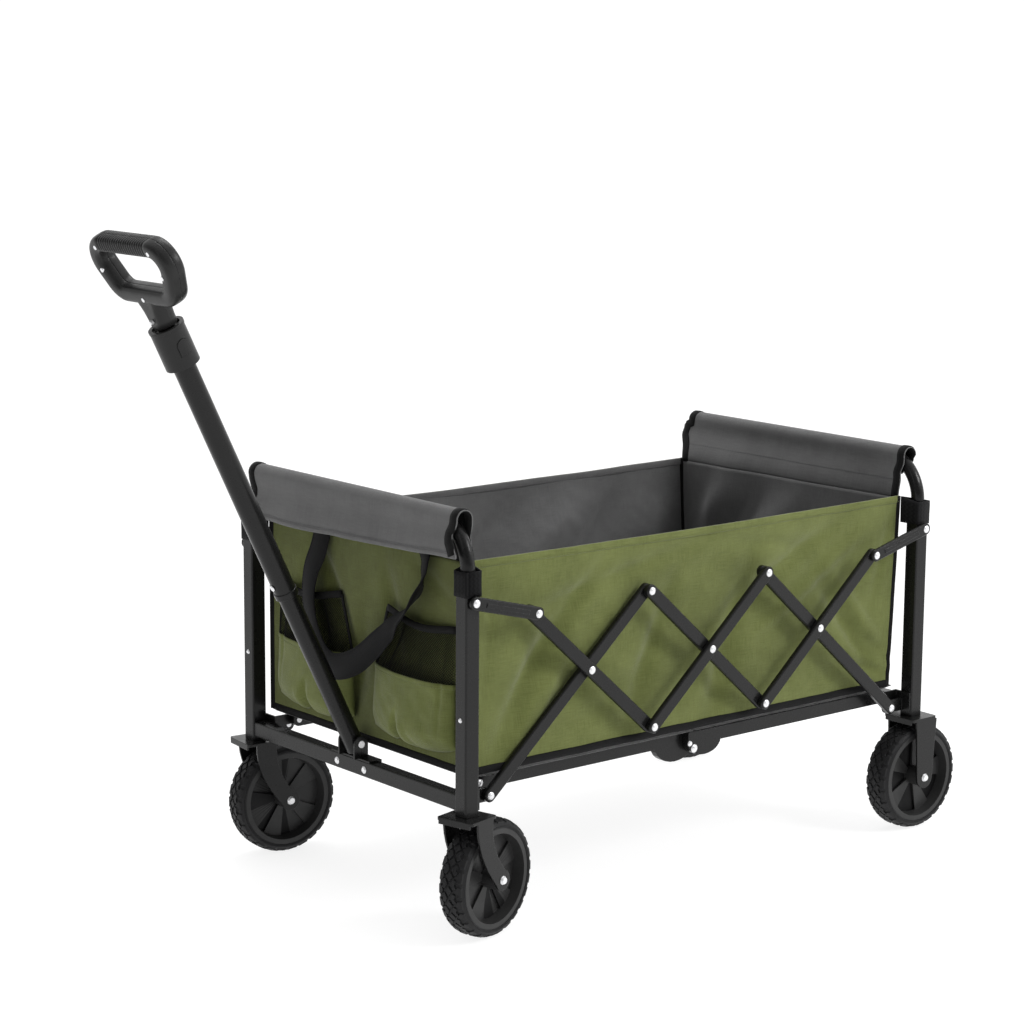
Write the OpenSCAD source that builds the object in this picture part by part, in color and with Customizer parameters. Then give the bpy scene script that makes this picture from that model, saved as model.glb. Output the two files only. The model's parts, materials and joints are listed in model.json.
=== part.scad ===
// Folding camp wagon: two end frames joined by a scissor of crossed bars on each side,
// a fabric bay hung between them, a hinged floor frame, four wheels and a telescopic handle.
// X runs along the wagon with the handle at -X, Y across it with the left side at -Y, Z up from the ground.

/* [End frames] */
// Distance between the front and rear posts
post_pitch = 900; // [880:5:920]
// Distance between the left and right posts
post_track = 518; // [510:2:530]
// Width of the square post tube
post_w = 24; // [23:0.5:25]
// Height of the post's lower end
post_bottom = 183; // [182:0.5:184]
// Height of the post's upper end
post_top = 527; // [520:1:534]
// Diameter of the round top rail
rail_d = 20.6; // [18:0.2:20.6]
// Height of the top rail's centre line
rail_z = 597; // [590:1:604]
// Bend radius of the top rail
rail_bend = 70; // [60:1:80]

/* [Scissor] */
// Distance from a post to the lower scissor pivot
pivot_inset = 48; // [47:1:50]
// Height of the lower scissor pivots
pivot_z = 201; // [200:1:203]
// Angle of the open scissor above the floor
open_angle = 41.5; // [41:0.1:42]
// Angle of the folded scissor above the floor
folded_angle = 82; // [80:0.5:82]
// Length of each crossed bar's short leg, from the crossing to the bar's end pivot
short_leg = 151; // [149:1:153]
// Width of a scissor bar
bar_w = 19; // [18:0.5:20]
// Thickness of a scissor bar
bar_t = 9.5; // [9:0.1:9.6]

/* [Wheels] */
// Wheel diameter
wheel_d = 170; // [168:1:170]
// Tyre width
tyre_w = 42; // [38:1:43]
// Distance of the front wheel's axle behind its swivel
caster_trail = 43.5; // [42:0.5:45]
// Angle that the left caster is turned to
left_swivel = 14; // [-20:1:20]
// Angle that the right caster is turned to
right_swivel = -6; // [-20:1:20]

/* [Handle] */
// Lean of the handle from upright
handle_lean = 26.1; // [20:0.1:30]
// Length from the handle pivot to the grip's lower bar
grip_reach = 745; // [740:1:760]
// Width of the grip's loop between bar centres
grip_w = 168; // [160:1:176]
// Height of the grip's loop between bar centres
grip_h = 75; // [70:1:80]

/* [Bay] */
// Height of the side panels' upper edge
bay_top = 535; // [525:1:540]
// Height of the fabric bay's lower edge
bay_bottom = 236; // [234:1:240]

/* [Hidden] */
$fn = 48;

LEFT = -1;
RIGHT = 1;
FRONT = -1;
REAR = 1;
SIDES = [LEFT, RIGHT];
gap = 0.3;                              // clearance between parts that move past each other
fit = 0.08;                             // radial clearance of a running fit
post_y = post_track / 2;
post_x = post_pitch / 2;
post_wall = 1.5;
outer_face = post_y + post_w / 2;       // outer face of a post, from the centre plane
inner_face = post_y - post_w / 2;
rivet_r = 3;
rivet_head_r = 6;
rivet_head_h = 2.6;

// Scissor geometry: C and J cross near the ends, G in the middle
half_span = post_x - pivot_inset;
long_leg = half_span / cos(open_angle) - 2 * short_leg;
function along(leg, slope) = [leg * cos(open_angle), slope * leg * sin(open_angle)];
point_e = [-half_span, pivot_z];
point_c = point_e + along(long_leg, 1);
point_d = point_c + along(short_leg, 1);
point_b = point_c - along(short_leg, -1);
point_f = point_c + along(short_leg, -1);
point_g = point_f + along(short_leg, 1);
function opposite(p) = [-p[0], p[1]];
point_h = opposite(point_d);
point_i = opposite(point_f);
point_j = opposite(point_c);
point_k = opposite(point_b);
point_m = opposite(point_e);
layer_faces = [outer_face - 18.3, outer_face - 8.3, outer_face + 1.7];   // outer face of each layer of bars
bar_bevel = 1.6;
bar_wall = 1.2;

// Short links, whose post pivot is placed so that one length fits both the open and the folded frame
folded_run = 2 * long_leg + 4 * short_leg;
folded_pitch = 2 * pivot_inset + folded_run * cos(folded_angle);
folded_b = [pivot_inset + (long_leg - short_leg) * cos(folded_angle),
            pivot_z + (long_leg + short_leg) * sin(folded_angle)];
open_b = point_b + [post_x, 0];
link_z = (folded_b * folded_b - open_b * open_b) / (2 * (folded_b[1] - open_b[1]));
point_a = [-post_x, link_z];
link_face = outer_face + 2.3;           // inner face of the links
link_t = 6;

// Wheels
wheel_r = wheel_d / 2;
tyre_depth = 13;
rim_r = wheel_r - tyre_depth;
axle_r = 4;
fork_plate_t = 4;
fork_half = 31;
blade_t = 3;
blade_y = fork_half - blade_t;
rear_axle_x = post_x + 4;

front_ear_y = layer_faces[0] - bar_t - gap - 3;
rear_ear_y = layer_faces[1] - bar_t - gap - 3;
ear_t = 3;
ear_h = 20;
crossbar_h = 23;
crossbar_d = 20;
crossbar_z = 200.5;

// Floor frame
floor_rail_w = 12;
function rail_outer(end) = end == FRONT ? 224 : 237;   // the rear rails lie outside the front ones
floor_rail_h = 20;
floor_rail_z = 214;
cross_tube_x = 128;                     // inner cross tube, clear of the other half while folding
floor_pin_z = 198;
floor_pin_r = 4;
board_top = 232;
board_t = 6;
board_half = 204;

// Handle, drawn upright from its pivot and then leaned forward
handle_pivot = [-455, 0, 234];
bolt_r = 4;
lower_tube_r = 14;
upper_tube_r = 16;
inner_tube_r = 12;
tube_wall = 1.5;
ring_s = 260;                           // where the upper tube starts
collar_s = [636, 696];
collar_r = 24.5;
ear_y = 17.3;
grip_bar = [15, 12];                    // half thickness across and along the grip's bars
grip_top_s = grip_reach + grip_h;
grip_taper = 25;                        // lean of the grip's sides

// The part's frame has its origin under the middle of the whole wagon's bounding box
front_reach = -handle_pivot[0] + grip_top_s * sin(handle_lean) + grip_bar[0] - 0.5;
rear_reach = rear_axle_x + wheel_r;
x_mid = (front_reach - rear_reach) / 2;

// ---------- shared shapes ----------

// Everything is drawn from the middle of the wagon and moved to the part's frame
module in_frame() {
    translate([x_mid, 0, 0]) children();
}

module on_side(side) {
    if (side < 0) mirror([0, 1, 0]) children();
    else children();
}

module on_end(end) {
    if (end < 0) mirror([1, 0, 0]) children();
    else children();
}

// A plate drawn in X and Z, from y0 outwards
module plate_xz(y0, thickness) {
    translate([0, y0 + thickness, 0]) rotate([90, 0, 0]) linear_extrude(thickness) children();
}

module rounded_rect(size, r) {
    square([size[0] - 2 * r, size[1]], center = true);
    square([size[0], size[1] - 2 * r], center = true);
    for (x = [-1, 1], y = [-1, 1])
        translate([x * (size[0] / 2 - r), y * (size[1] / 2 - r)]) circle(r = r);
}

module tube_profile(size, r, wall) {
    difference() {
        rounded_rect(size, r);
        square([size[0] - 2 * wall, size[1] - 2 * wall], center = true);
    }
}

// Turns a shape drawn along Z so that it runs along +Y
module along_y() {
    rotate([-90, 0, 0]) children();
}

// A domed rivet: head outwards (+Y) from head_y, shank to tail_y, with or without a set foot
module rivet(x, z, head_y, tail_y, head_r = rivet_head_r, shank_r = rivet_r, foot = true) {
    dome_r = (head_r * head_r + rivet_head_h * rivet_head_h) / (2 * rivet_head_h);
    translate([x, 0, z]) along_y() {
        intersection() {
            translate([0, 0, head_y + rivet_head_h - dome_r]) sphere(r = dome_r, $fn = 64);
            translate([0, 0, head_y]) cylinder(r = head_r, h = rivet_head_h);
        }
        translate([0, 0, tail_y]) cylinder(r = shank_r, h = head_y - tail_y);
        if (foot) translate([0, 0, tail_y - 1]) cylinder(r = shank_r + 1.4, h = 1);
    }
}

// A bar with rounded, bevelled ends between two points of the XZ plane, from y0 outwards
module bar(from, to, y0, width, thickness, bores, bevel = bar_bevel, wall = bar_wall) {
    run = to - from;
    length = norm(run);
    half = width / 2;
    section = [[0, 0], [half - bevel, 0], [half, bevel], [half, thickness - bevel],
               [half - bevel, thickness], [0, thickness]];
    translate([from[0], y0, from[1]]) rotate([0, -atan2(run[1], run[0]), 0])
        difference() {
            union() {
                rotate([-90, 0, 0]) rotate_extrude() polygon(section);
                translate([length, 0, 0]) rotate([-90, 0, 0]) rotate_extrude() polygon(section);
                rotate([90, 0, 90]) linear_extrude(length) {
                    polygon([for (p = section) [p[1], p[0]]]);
                    polygon([for (p = section) [p[1], -p[0]]]);
                }
            }
            translate([half, wall, -half + wall])
                cube([length - 2 * half, thickness - 2 * wall, width - 2 * wall]);
            for (s = bores)
                translate([s * length, -1, 0]) along_y() cylinder(r = rivet_r + fit, h = thickness + 2);
        }
}

module scissor_bars(from, to, layer, bores) {
    color("dimgray") in_frame() for (side = SIDES) on_side(side)
        bar(from, to, layer_faces[layer] - bar_t, bar_w, bar_t, bores);
}

module lower_front_bars() {
    scissor_bars(point_e, point_d, 0, [0, long_leg / (long_leg + short_leg), 1]);
}

module upper_front_bars() {
    scissor_bars(point_b, point_f, 1, [0, 0.5, 1]);
}

module mid_rising_bars() {
    scissor_bars(point_f, point_h, 2, [0, 0.5, 1]);
}

module mid_falling_bars() {
    scissor_bars(point_d, point_i, 1, [0, 0.5, 1]);
}

module upper_rear_bars() {
    scissor_bars(point_i, point_k, 2, [0, 0.5, 1]);
}

module lower_rear_bars() {
    scissor_bars(point_h, point_m, 1, [0, short_leg / (long_leg + short_leg), 1]);
}

// ---------- end frames ----------

module post(end, side) {
    plug_h = 22;
    color("dimgray") in_frame() translate([end * post_x, side * post_y, 0]) difference() {
        union() {
            translate([0, 0, post_bottom]) linear_extrude(post_top - post_bottom)
                tube_profile([post_w, post_w], 2.5, post_wall);
            translate([0, 0, post_bottom]) linear_extrude(plug_h)
                square(post_w - 2 * post_wall, center = true);
        }
        translate([0, 0, post_bottom - 1]) cylinder(r = 5 + fit, h = plug_h + 2);
        translate([0, side * post_w, link_z]) rotate([side * 90, 0, 0])
            cylinder(r = rivet_r + fit, h = post_w);
    }
}

// Crossbar between the posts, with the stamped corner brackets welded to it
module crossbar(end) {
    color("dimgray") in_frame() {
        translate([end * post_x, -inner_face, crossbar_z]) along_y()
            linear_extrude(2 * inner_face) tube_profile([crossbar_d, crossbar_h], 2, 1.5);
        corner_brackets(end);
    }
}

module top_rail(end) {
    straight = post_y - rail_bend;
    drop = 34;
    color("dimgray") in_frame() translate([end * post_x, 0, 0]) {
        translate([0, -straight, rail_z]) along_y() difference() {
            cylinder(d = rail_d, h = 2 * straight);
            translate([0, 0, -1]) cylinder(d = rail_d - 3, h = 2 * straight + 2);
        }
        for (side = SIDES) on_side(side) {
            translate([0, straight, rail_z - rail_bend]) rotate([90, 0, 90])
                rotate_extrude(angle = 90, $fn = 96) translate([rail_bend, 0]) difference() {
                    circle(d = rail_d);
                    circle(d = rail_d - 3);
                }
            translate([0, post_y, rail_z - rail_bend - drop]) difference() {
                cylinder(d = rail_d, h = drop);
                translate([0, 0, -1]) cylinder(d = rail_d - 3, h = drop + 2);
            }
        }
    }
}

// Corner brackets: a tab on the post's inner side with an ear for the scissor and one for the floor rail
module corner_brackets(end) {
    tab_x = post_x - post_w / 2;
    tab_t = 2.5;
    scissor_ear_y = end == FRONT ? front_ear_y : rear_ear_y;
    rail_ear_y = rail_outer(end) + gap;
    tab_low = pivot_z - ear_h / 2;
    for (side = SIDES) on_side(side) on_end(end) {
        translate([tab_x - tab_t, rail_ear_y, tab_low])
            cube([tab_t, outer_face - 2 - rail_ear_y, floor_rail_z + 8 - tab_low]);
        translate([tab_x - tab_t, rail_ear_y - 6, tab_low])
            cube([tab_t + 2.5, inner_face - rail_ear_y + 5.5, ear_h]);
        ear(scissor_ear_y, pivot_z, ear_h, tab_x - 1);
        ear(rail_ear_y, floor_rail_z, 16, tab_x - 1);
    }
}

module ear(y0, z, height, from_x) {
    plate_xz(y0, ear_t) difference() {
        union() {
            translate([half_span, z - height / 2]) square([from_x - half_span, height]);
            translate([half_span, z]) circle(d = height);
        }
        translate([half_span, z]) circle(r = rivet_r + fit);
    }
}

// Saddle on the front crossbar with two ears for the handle
module handle_bracket() {
    plate_t = 2.5;
    half = 46;
    top = crossbar_z + crossbar_h / 2;
    face = post_x - crossbar_d / 2;
    color("dimgray") in_frame() {
        translate([-post_x - crossbar_d / 2, -half, top]) cube([crossbar_d + plate_t, 2 * half, plate_t]);
        translate([-face, -half, crossbar_z - crossbar_h / 2])
            cube([plate_t, 2 * half, crossbar_h + plate_t]);
        for (side = SIDES) on_side(side)
            translate([handle_pivot[0], ear_y, 0]) along_y() difference() {
                union() {
                    translate([0, -handle_pivot[2], 0]) cylinder(r = 12, h = 3);
                    translate([-12, -handle_pivot[2], 0]) cube([24, handle_pivot[2] - top - 1, 3]);
                }
                translate([0, -handle_pivot[2], -1]) cylinder(r = bolt_r + fit, h = 5);
            }
    }
}

module front_rivets() {
    color("silver") in_frame() {
        for (side = SIDES) on_side(side) {
            rivet(-post_x, link_z, link_face + link_t, outer_face - 8);
            rivet(point_e[0], pivot_z, layer_faces[0], front_ear_y);
            rail_rivet(FRONT);
            face_rivet(FRONT, 33, crossbar_z - 1, crossbar_d / 2, 5.5);
            face_rivet(FRONT, post_y, 320, post_w / 2, 3.6);
        }
        rivet(handle_pivot[0], handle_pivot[2], ear_y + 3, -ear_y - 3, 6.5, bolt_r);
    }
}

// A rivet head on the outer side of an end frame, standing off its middle by depth
module face_rivet(end, y, z, depth, head_r) {
    translate([end * (post_x + depth), y, z]) rotate([0, end * 90, 0])
        cylinder(r1 = head_r, r2 = head_r * 0.6, h = 1.8);
}

// Pivot of a floor rail in its ear
module rail_rivet(end) {
    rivet(end * half_span, floor_rail_z, rail_outer(end) + gap + ear_t, rail_outer(end) - floor_rail_w);
}

module rear_rivets() {
    color("silver") in_frame() for (side = SIDES) on_side(side) {
        rivet(post_x, link_z, link_face + link_t, outer_face - 8);
        rivet(point_m[0], pivot_z, layer_faces[1], rear_ear_y);
        rail_rivet(REAR);
        face_rivet(REAR, post_y, 320, post_w / 2, 3.6);
        axle(rear_axle_x);
    }
}

// ---------- fork and wheels ----------

// Axle with two heads, at x, centred on the post
module axle(x) {
    head = 3.4;
    translate([x, post_y - fork_half, wheel_r]) along_y() {
        cylinder(r = axle_r, h = 2 * fork_half);
        translate([0, 0, -head]) cylinder(r1 = 4.5, r2 = 6.6, h = head);
        translate([0, 0, 2 * fork_half]) cylinder(r1 = 6.6, r2 = 4.5, h = head);
    }
}

function curve(a, b, c, steps = 8) =
    [for (i = [0 : steps]) let (t = i / steps) (1 - t) * (1 - t) * a + 2 * t * (1 - t) * b + t * t * c];

module blade_pair(outline, axle_x, tip_r) {
    for (y = [-fork_half, blade_y])
        plate_xz(y, blade_t) difference() {
            union() {
                polygon(outline);
                translate([axle_x, wheel_r]) circle(r = tip_r);
            }
            translate([axle_x, wheel_r]) circle(r = axle_r + fit);
        }
}

// Swivelling fork: a plate under the post, curved blades and a stem up into the post
module caster_fork() {
    top = post_bottom - gap;
    under = top - fork_plate_t;
    tip_r = 15;
    leading = curve([-14, under], [-16, 132], [caster_trail - 14, wheel_r - 5]);
    trailing = curve([caster_trail + 13.5, wheel_r + 6.5], [16, 127], [20, under]);
    translate([0, 0, under]) linear_extrude(fork_plate_t) rounded_rect([58, 2 * fork_half], 5);
    plate_lip(-29, under);
    blade_pair(concat(leading, trailing), caster_trail, tip_r);
    cylinder_from(under + 1, post_bottom + 20, 5);
}

// Edge of a fork plate, turned down between the blades
module plate_lip(x, under) {
    drop = 5;
    translate([x, -fork_half + 4, under - drop]) cube([3, 2 * fork_half - 8, drop + 1]);
}

module cylinder_from(z0, z1, r) {
    translate([0, 0, z0]) cylinder(r = r, h = z1 - z0);
}

module at_caster(side, swivel) {
    translate([-post_x, side * post_y, 0]) rotate([0, 0, swivel]) children();
}

module placed_caster_fork(side, swivel) {
    color("dimgray") in_frame() at_caster(side, swivel) caster_fork();
}

module placed_caster_axle(side, swivel) {
    color("silver") in_frame() at_caster(side, swivel) translate([0, -post_y, 0]) axle(caster_trail);
}

// Fixed rear forks: a plate welded under each post and straight tapered blades
module rear_forks() {
    under = post_bottom - fork_plate_t;
    tip = rear_axle_x - post_x;
    tip_r = 17;
    outline = [[tip - tip_r, wheel_r], [-18, under], [28, under], [tip + tip_r, wheel_r]];
    color("dimgray") in_frame() for (side = SIDES) translate([post_x, side * post_y, 0]) {
        translate([0, 0, under]) linear_extrude(fork_plate_t) rounded_rect([56, 2 * fork_half], 5);
        plate_lip(-28, under);
        blade_pair(outline, tip, tip_r);
    }
}

// Moulded wheel: a rim, a thin web deep inside it, five wedge-shaped spokes on each face and a hub
module wheel(phase) {
    spokes = 5;
    half = tyre_w / 2;
    hub_half = blade_y - 1;
    lip_r = rim_r - 8;
    web_half = 1.2;
    spoke_half = 5;
    along_y() difference() {
        union() {
            rotate_extrude(convexity = 4) polygon([
                [lip_r, -half + 1], [rim_r - 0.2, -half + 1], [rim_r - 0.2, half - 1], [lip_r, half - 1],
                [lip_r - 3, spoke_half - 1.5], [lip_r - 3, 1.5 - spoke_half]]);
            translate([0, 0, -hub_half]) cylinder(r = 15, h = 2 * hub_half);
            translate([0, 0, -web_half]) cylinder(r = lip_r - 1, h = 2 * web_half);
            for (i = [0 : spokes - 1]) rotate([0, 0, -phase - i * 360 / spokes])
                translate([0, 0, -spoke_half]) linear_extrude(2 * spoke_half)
                    polygon([[13.5, -4.5], [lip_r - 1, -16.5], [lip_r - 1, 16.5], [13.5, 4.5]]);
        }
        translate([0, 0, -hub_half - 1]) cylinder(r = axle_r + fit, h = 2 * hub_half + 2);
    }
}

module tyre() {
    half = tyre_w / 2;
    along_y() rotate_extrude(convexity = 4, $fn = 96) polygon([
        [rim_r, -half], [wheel_r - 6, -half], [wheel_r - 1.5, -half + 4], [wheel_r, -half + 9],
        [wheel_r, half - 9], [wheel_r - 1.5, half - 4], [wheel_r - 6, half], [rim_r, half]]);
}

module front_wheel(side, swivel, phase) {
    color("dimgray") in_frame() at_caster(side, swivel) translate([caster_trail, 0, wheel_r]) wheel(phase);
}

module front_tyre(side, swivel) {
    color("black") in_frame() at_caster(side, swivel) translate([caster_trail, 0, wheel_r]) tyre();
}

module rear_wheel(side, phase) {
    color("dimgray") in_frame() translate([rear_axle_x, side * post_y, wheel_r]) wheel(phase);
}

module rear_tyre(side) {
    color("black") in_frame() translate([rear_axle_x, side * post_y, wheel_r]) tyre();
}

// ---------- links ----------

module side_links(from, to) {
    rib = 1.2;
    run = to - from;
    length = norm(run);
    for (side = SIDES) on_side(side) {
        bar(from, to, link_face, 19, link_t, [0, 1], 1.4, 1.2);
        translate([from[0], link_face + link_t, from[1]]) rotate([0, -atan2(run[1], run[0]), 0])
            translate([18, -0.5, -3]) cube([length - 36, 0.5 + rib, 6]);
    }
}

module front_links() {
    color("dimgray") in_frame() side_links(point_a, point_b);
}

module rear_links() {
    color("dimgray") in_frame() side_links(opposite(point_a), opposite(point_b));
}

// The rivets of the links' free ends stay in the links, so that the links swing clear of the bars
module link_rivets(at, bar_face) {
    for (side = SIDES) on_side(side) {
        rivet(at[0], at[1], link_face + link_t, link_face + 1.2, foot = false);
        if (link_face - bar_face > 2)
            translate([at[0], bar_face + gap, at[1]]) along_y()
                cylinder(r = 5, h = link_face - bar_face - gap);
    }
}

module front_link_rivets() {
    color("silver") in_frame() link_rivets(point_b, layer_faces[1]);
}

module rear_link_rivets() {
    color("silver") in_frame() link_rivets(point_k, layer_faces[2]);
}

// ---------- scissor rivets ----------

module bar_rivets(points, head_layer) {
    for (side = SIDES) on_side(side) for (p = points)
        rivet(p[0], p[1], layer_faces[head_layer], layer_faces[head_layer - 1] - bar_t);
}

module lower_front_rivets() {
    color("silver") in_frame() bar_rivets([point_c, point_d], 1);
}

module mid_rising_rivets() {
    color("silver") in_frame() bar_rivets([point_f, point_g, point_h], 2);
}

module upper_rear_rivets() {
    color("silver") in_frame() bar_rivets([point_i, point_j], 2);
}

// ---------- floor ----------

// One half of the floor frame: side rails, two cross tubes and a hanging lug for the middle pin
module floor_half(end) {
    outer = rail_outer(end);
    inner = outer - floor_rail_w;
    for (side = SIDES) on_side(side) {
        difference() {
            union() {
                translate([-12, inner, floor_rail_z - floor_rail_h / 2])
                    cube([half_span + 12, floor_rail_w, floor_rail_h]);
                translate([half_span, inner, floor_rail_z]) along_y()
                    cylinder(d = floor_rail_h, h = floor_rail_w);
                floor_lug(end, inner);
            }
            translate([80, inner + 1.5, floor_rail_z - floor_rail_h / 2 + 1.5])
                cube([half_span - 100, floor_rail_w - 3, floor_rail_h - 3]);
            translate([half_span, inner - 1, floor_rail_z]) along_y()
                cylinder(r = rivet_r + fit, h = floor_rail_w + 2);
            translate([0, inner - 1, floor_pin_z]) along_y()
                cylinder(r = floor_pin_r + fit, h = floor_rail_w + 2);
        }
    }
    for (x = [cross_tube_x, half_span - 40])
        translate([x, -inner - 0.5, floor_rail_z]) along_y()
            linear_extrude(2 * inner + 1) tube_profile([16, 16], 1.5, 1.5);
}

// Lug under the rail's middle end, with its lower edge as an arc; the front one hangs lower
module floor_lug(end, inner) {
    reach = end == FRONT ? 66 : 54;
    depth = end == FRONT ? 26 : 20;
    bow = [for (t = [0 : 15 : 180]) [reach / 2 - 6 - (reach / 2 + 6) * cos(t), floor_rail_z - 8 - depth * sin(t)]];
    plate_xz(inner, floor_rail_w) polygon(bow);
}

module front_floor_frame() {
    color("dimgray") in_frame() on_end(FRONT) floor_half(FRONT);
}

module rear_floor_frame() {
    color("dimgray") in_frame() floor_half(REAR);
}

// The pins stay in the rear half's lugs, so that the halves can pass each other while folding
module floor_pins() {
    face = rail_outer(REAR);
    color("silver") in_frame() for (side = SIDES) on_side(side) {
        rivet(0, floor_pin_z, face, face - floor_rail_w + 1, 6.5, floor_pin_r, foot = false);
        translate([-9, face, floor_pin_z + 9]) along_y() cylinder(r1 = 4.5, r2 = 3, h = 1.8);
    }
}

module floor_board(end) {
    from = 1;
    to = half_span - 2;
    color("gray") in_frame() on_end(end)
        translate([from, -board_half, board_top - board_t]) cube([to - from, 2 * board_half, board_t]);
}

// ---------- fabric bay ----------

cloth_t = 2;
panel_x = 432;                          // outer face of the end panels
side_panel_y = 240;                     // outer face of the side panels
sleeve_half = 250;
flap_bottom = 534;

module end_panel(end, colour) {
    color(colour) in_frame() on_end(end)
        translate([panel_x - cloth_t, -side_panel_y + cloth_t, bay_bottom - 4])
            cube([cloth_t, 2 * (side_panel_y - cloth_t), bay_top - bay_bottom]);
}

// Side wall between the posts
module side_panel(side) {
    color("olivedrab") in_frame() on_side(side)
        translate([-panel_x + 2, side_panel_y - cloth_t, bay_bottom - 4])
            cube([2 * panel_x - 14, cloth_t, bay_top - bay_bottom + 4]);
}

// Cover folded over the top rail, with a flap on the outer side
module sleeve(end) {
    inner_r = rail_d / 2 + 0.4;
    outer_r = inner_r + cloth_t;
    color("gray") in_frame() on_end(end) translate([post_x, sleeve_half, 0])
        rotate([90, 0, 0]) linear_extrude(2 * sleeve_half) {
            difference() {
                translate([0, rail_z]) circle(r = outer_r);
                translate([0, rail_z]) circle(r = inner_r);
                translate([-20, rail_z - 40]) square([40, 40]);
            }
            translate([inner_r, flap_bottom]) square([cloth_t, rail_z - flap_bottom]);
            translate([-outer_r, flap_bottom]) square([cloth_t, rail_z - flap_bottom]);
        }
}

pocket_depth = 22;
pocket_z = [252, 436];
pocket_y = [32, 214];

module front_pockets() {
    color("olivedrab") in_frame() for (side = SIDES) on_side(side)
        translate([-panel_x - pocket_depth, pocket_y[0], pocket_z[0]]) difference() {
            cube([pocket_depth - 0.2, pocket_y[1] - pocket_y[0], pocket_z[1] - pocket_z[0]]);
            translate([cloth_t, cloth_t, cloth_t])
                cube([pocket_depth, pocket_y[1] - pocket_y[0] - 2 * cloth_t, pocket_z[1]]);
        }
}

// Webbing loop that ties the bay to a post
module post_loop(end, side) {
    band_z = [498, 526];
    translate([end * post_x, side * post_y, band_z[0]]) linear_extrude(band_z[1] - band_z[0])
        difference() {
            rounded_rect([post_w + 3.4, post_w + 3.4], 3);
            rounded_rect([post_w + 0.2, post_w + 0.2], 2.5);
        }
}

// Carrying strap that hangs in front of the front panel
strap_w = 36;
strap_path = [[102, 532], [120, 480], [134, 430], [132, 385], [108, 348], [66, 330], [20, 340],
              [-22, 372], [-62, 412], [-92, 446], [-108, 484], [-124, 532]];
function strap_normal(i) =
    let (a = strap_path[max(i - 1, 0)], b = strap_path[min(i + 1, len(strap_path) - 1)])
    [-(b - a)[1], (b - a)[0]] / norm(b - a) * strap_w / 2;

module front_webbing() {
    last = len(strap_path) - 1;
    edge_one = [for (i = [0 : last]) strap_path[i] + strap_normal(i)];
    edge_two = [for (i = [last : -1 : 0]) strap_path[i] - strap_normal(i)];
    color("black") in_frame() {
        for (side = SIDES) post_loop(FRONT, side);
        translate([-panel_x - pocket_depth - 4, 0, 0]) rotate([90, 0, 90])
            linear_extrude(1.6) polygon(concat(edge_one, edge_two));
    }
}

module rear_webbing() {
    color("black") in_frame() for (side = SIDES) post_loop(REAR, side);
}

// ---------- handle ----------

module lean() {
    in_frame() translate(handle_pivot) rotate([0, -handle_lean, 0]) children();
}

module round_tube(r, from, to) {
    translate([0, 0, from]) difference() {
        cylinder(r = r, h = to - from);
        translate([0, 0, -1]) cylinder(r = r - tube_wall, h = to - from + 2);
    }
}

module handle_lower_tube() {
    color("dimgray") lean() difference() {
        round_tube(lower_tube_r, -12, ring_s + 44);
        translate([0, -20, 0]) along_y() cylinder(r = bolt_r + fit, h = 40);
    }
}

module handle_upper_tube() {
    ring_h = 7;
    color("dimgray") lean() {
        round_tube(upper_tube_r, ring_s, collar_s[1] - 8);
        difference() {
            cylinder_from(ring_s - 2, ring_s + ring_h, upper_tube_r + 1.2);
            cylinder_from(ring_s - 3, ring_s + ring_h + 1, upper_tube_r - tube_wall);
        }
        translate([-upper_tube_r - 1.4, 0, ring_s + 20]) rotate([0, 90, 0]) cylinder(r = 3.6, h = 2.4);
    }
}

button_s = 664;

module handle_collar() {
    lip = 4;
    color("black") lean() difference() {
        union() {
            cylinder_from(collar_s[0], collar_s[1], collar_r);
            cylinder_from(collar_s[1] - lip, collar_s[1], collar_r + 0.8);
        }
        cylinder_from(collar_s[0] - 1, collar_s[1] - 7.8, upper_tube_r + fit);
        cylinder_from(collar_s[1] - 9, collar_s[1] + 1, inner_tube_r + fit);
        cylinder_from(collar_s[1] - 5, collar_s[1] + 1, 20);
        translate([0, -upper_tube_r, button_s]) rotate([90, 0, 0])
            linear_extrude(12) button_outline(gap);
    }
}

// Shield-shaped button face; grow widens it for the hole that it sits in
module button_outline(grow) {
    half = 9 + grow;
    translate([-half, -10 - grow]) square([2 * half, 14 + 2 * grow]);
    translate([0, 4]) circle(r = half);
}

module handle_button() {
    color("black") lean() intersection() {
        translate([0, -upper_tube_r - 3.4, button_s]) rotate([90, 0, 0]) linear_extrude(8) button_outline(0);
        cylinder_from(button_s - 30, button_s + 30, collar_r + 1);
    }
}

module handle_inner_tube() {
    color("dimgray") lean() round_tube(inner_tube_r, 330, grip_reach - 13.5);
}

// ---------- grip ----------

// Outline of half a grip bar as a soft-cornered rectangle
function grip_outline() = [for (i = [0 : 12]) let (t = -90 + i * 15, c = abs(cos(t)), s = sin(t))
    [i % 12 == 0 ? 0 : grip_bar[0] * pow(c, 0.6), grip_bar[1] * sign(s) * pow(abs(s), 0.6)]];

grip_corner = 26;                       // bend radius of the grip's corners

// The loop's centre line as [y, s, angle of its outward normal], corner by corner
function grip_loop() =
    let (drop = grip_h - 2 * grip_corner,
         upper = [grip_w / 2 - grip_corner, grip_top_s - grip_corner],
         lower = upper - drop * [tan(grip_taper), 1],
         corners = [[lower, -90, -grip_taper], [upper, -grip_taper, 90],
                    [[-upper[0], upper[1]], 90, 180 + grip_taper], [[-lower[0], lower[1]], 180 + grip_taper, 270]])
    [for (corner = corners) for (i = [0 : 8])
        let (a = corner[1] + (corner[2] - corner[1]) * i / 8)
        [corner[0][0] + grip_corner * cos(a), corner[0][1] + grip_corner * sin(a), a]];

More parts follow.
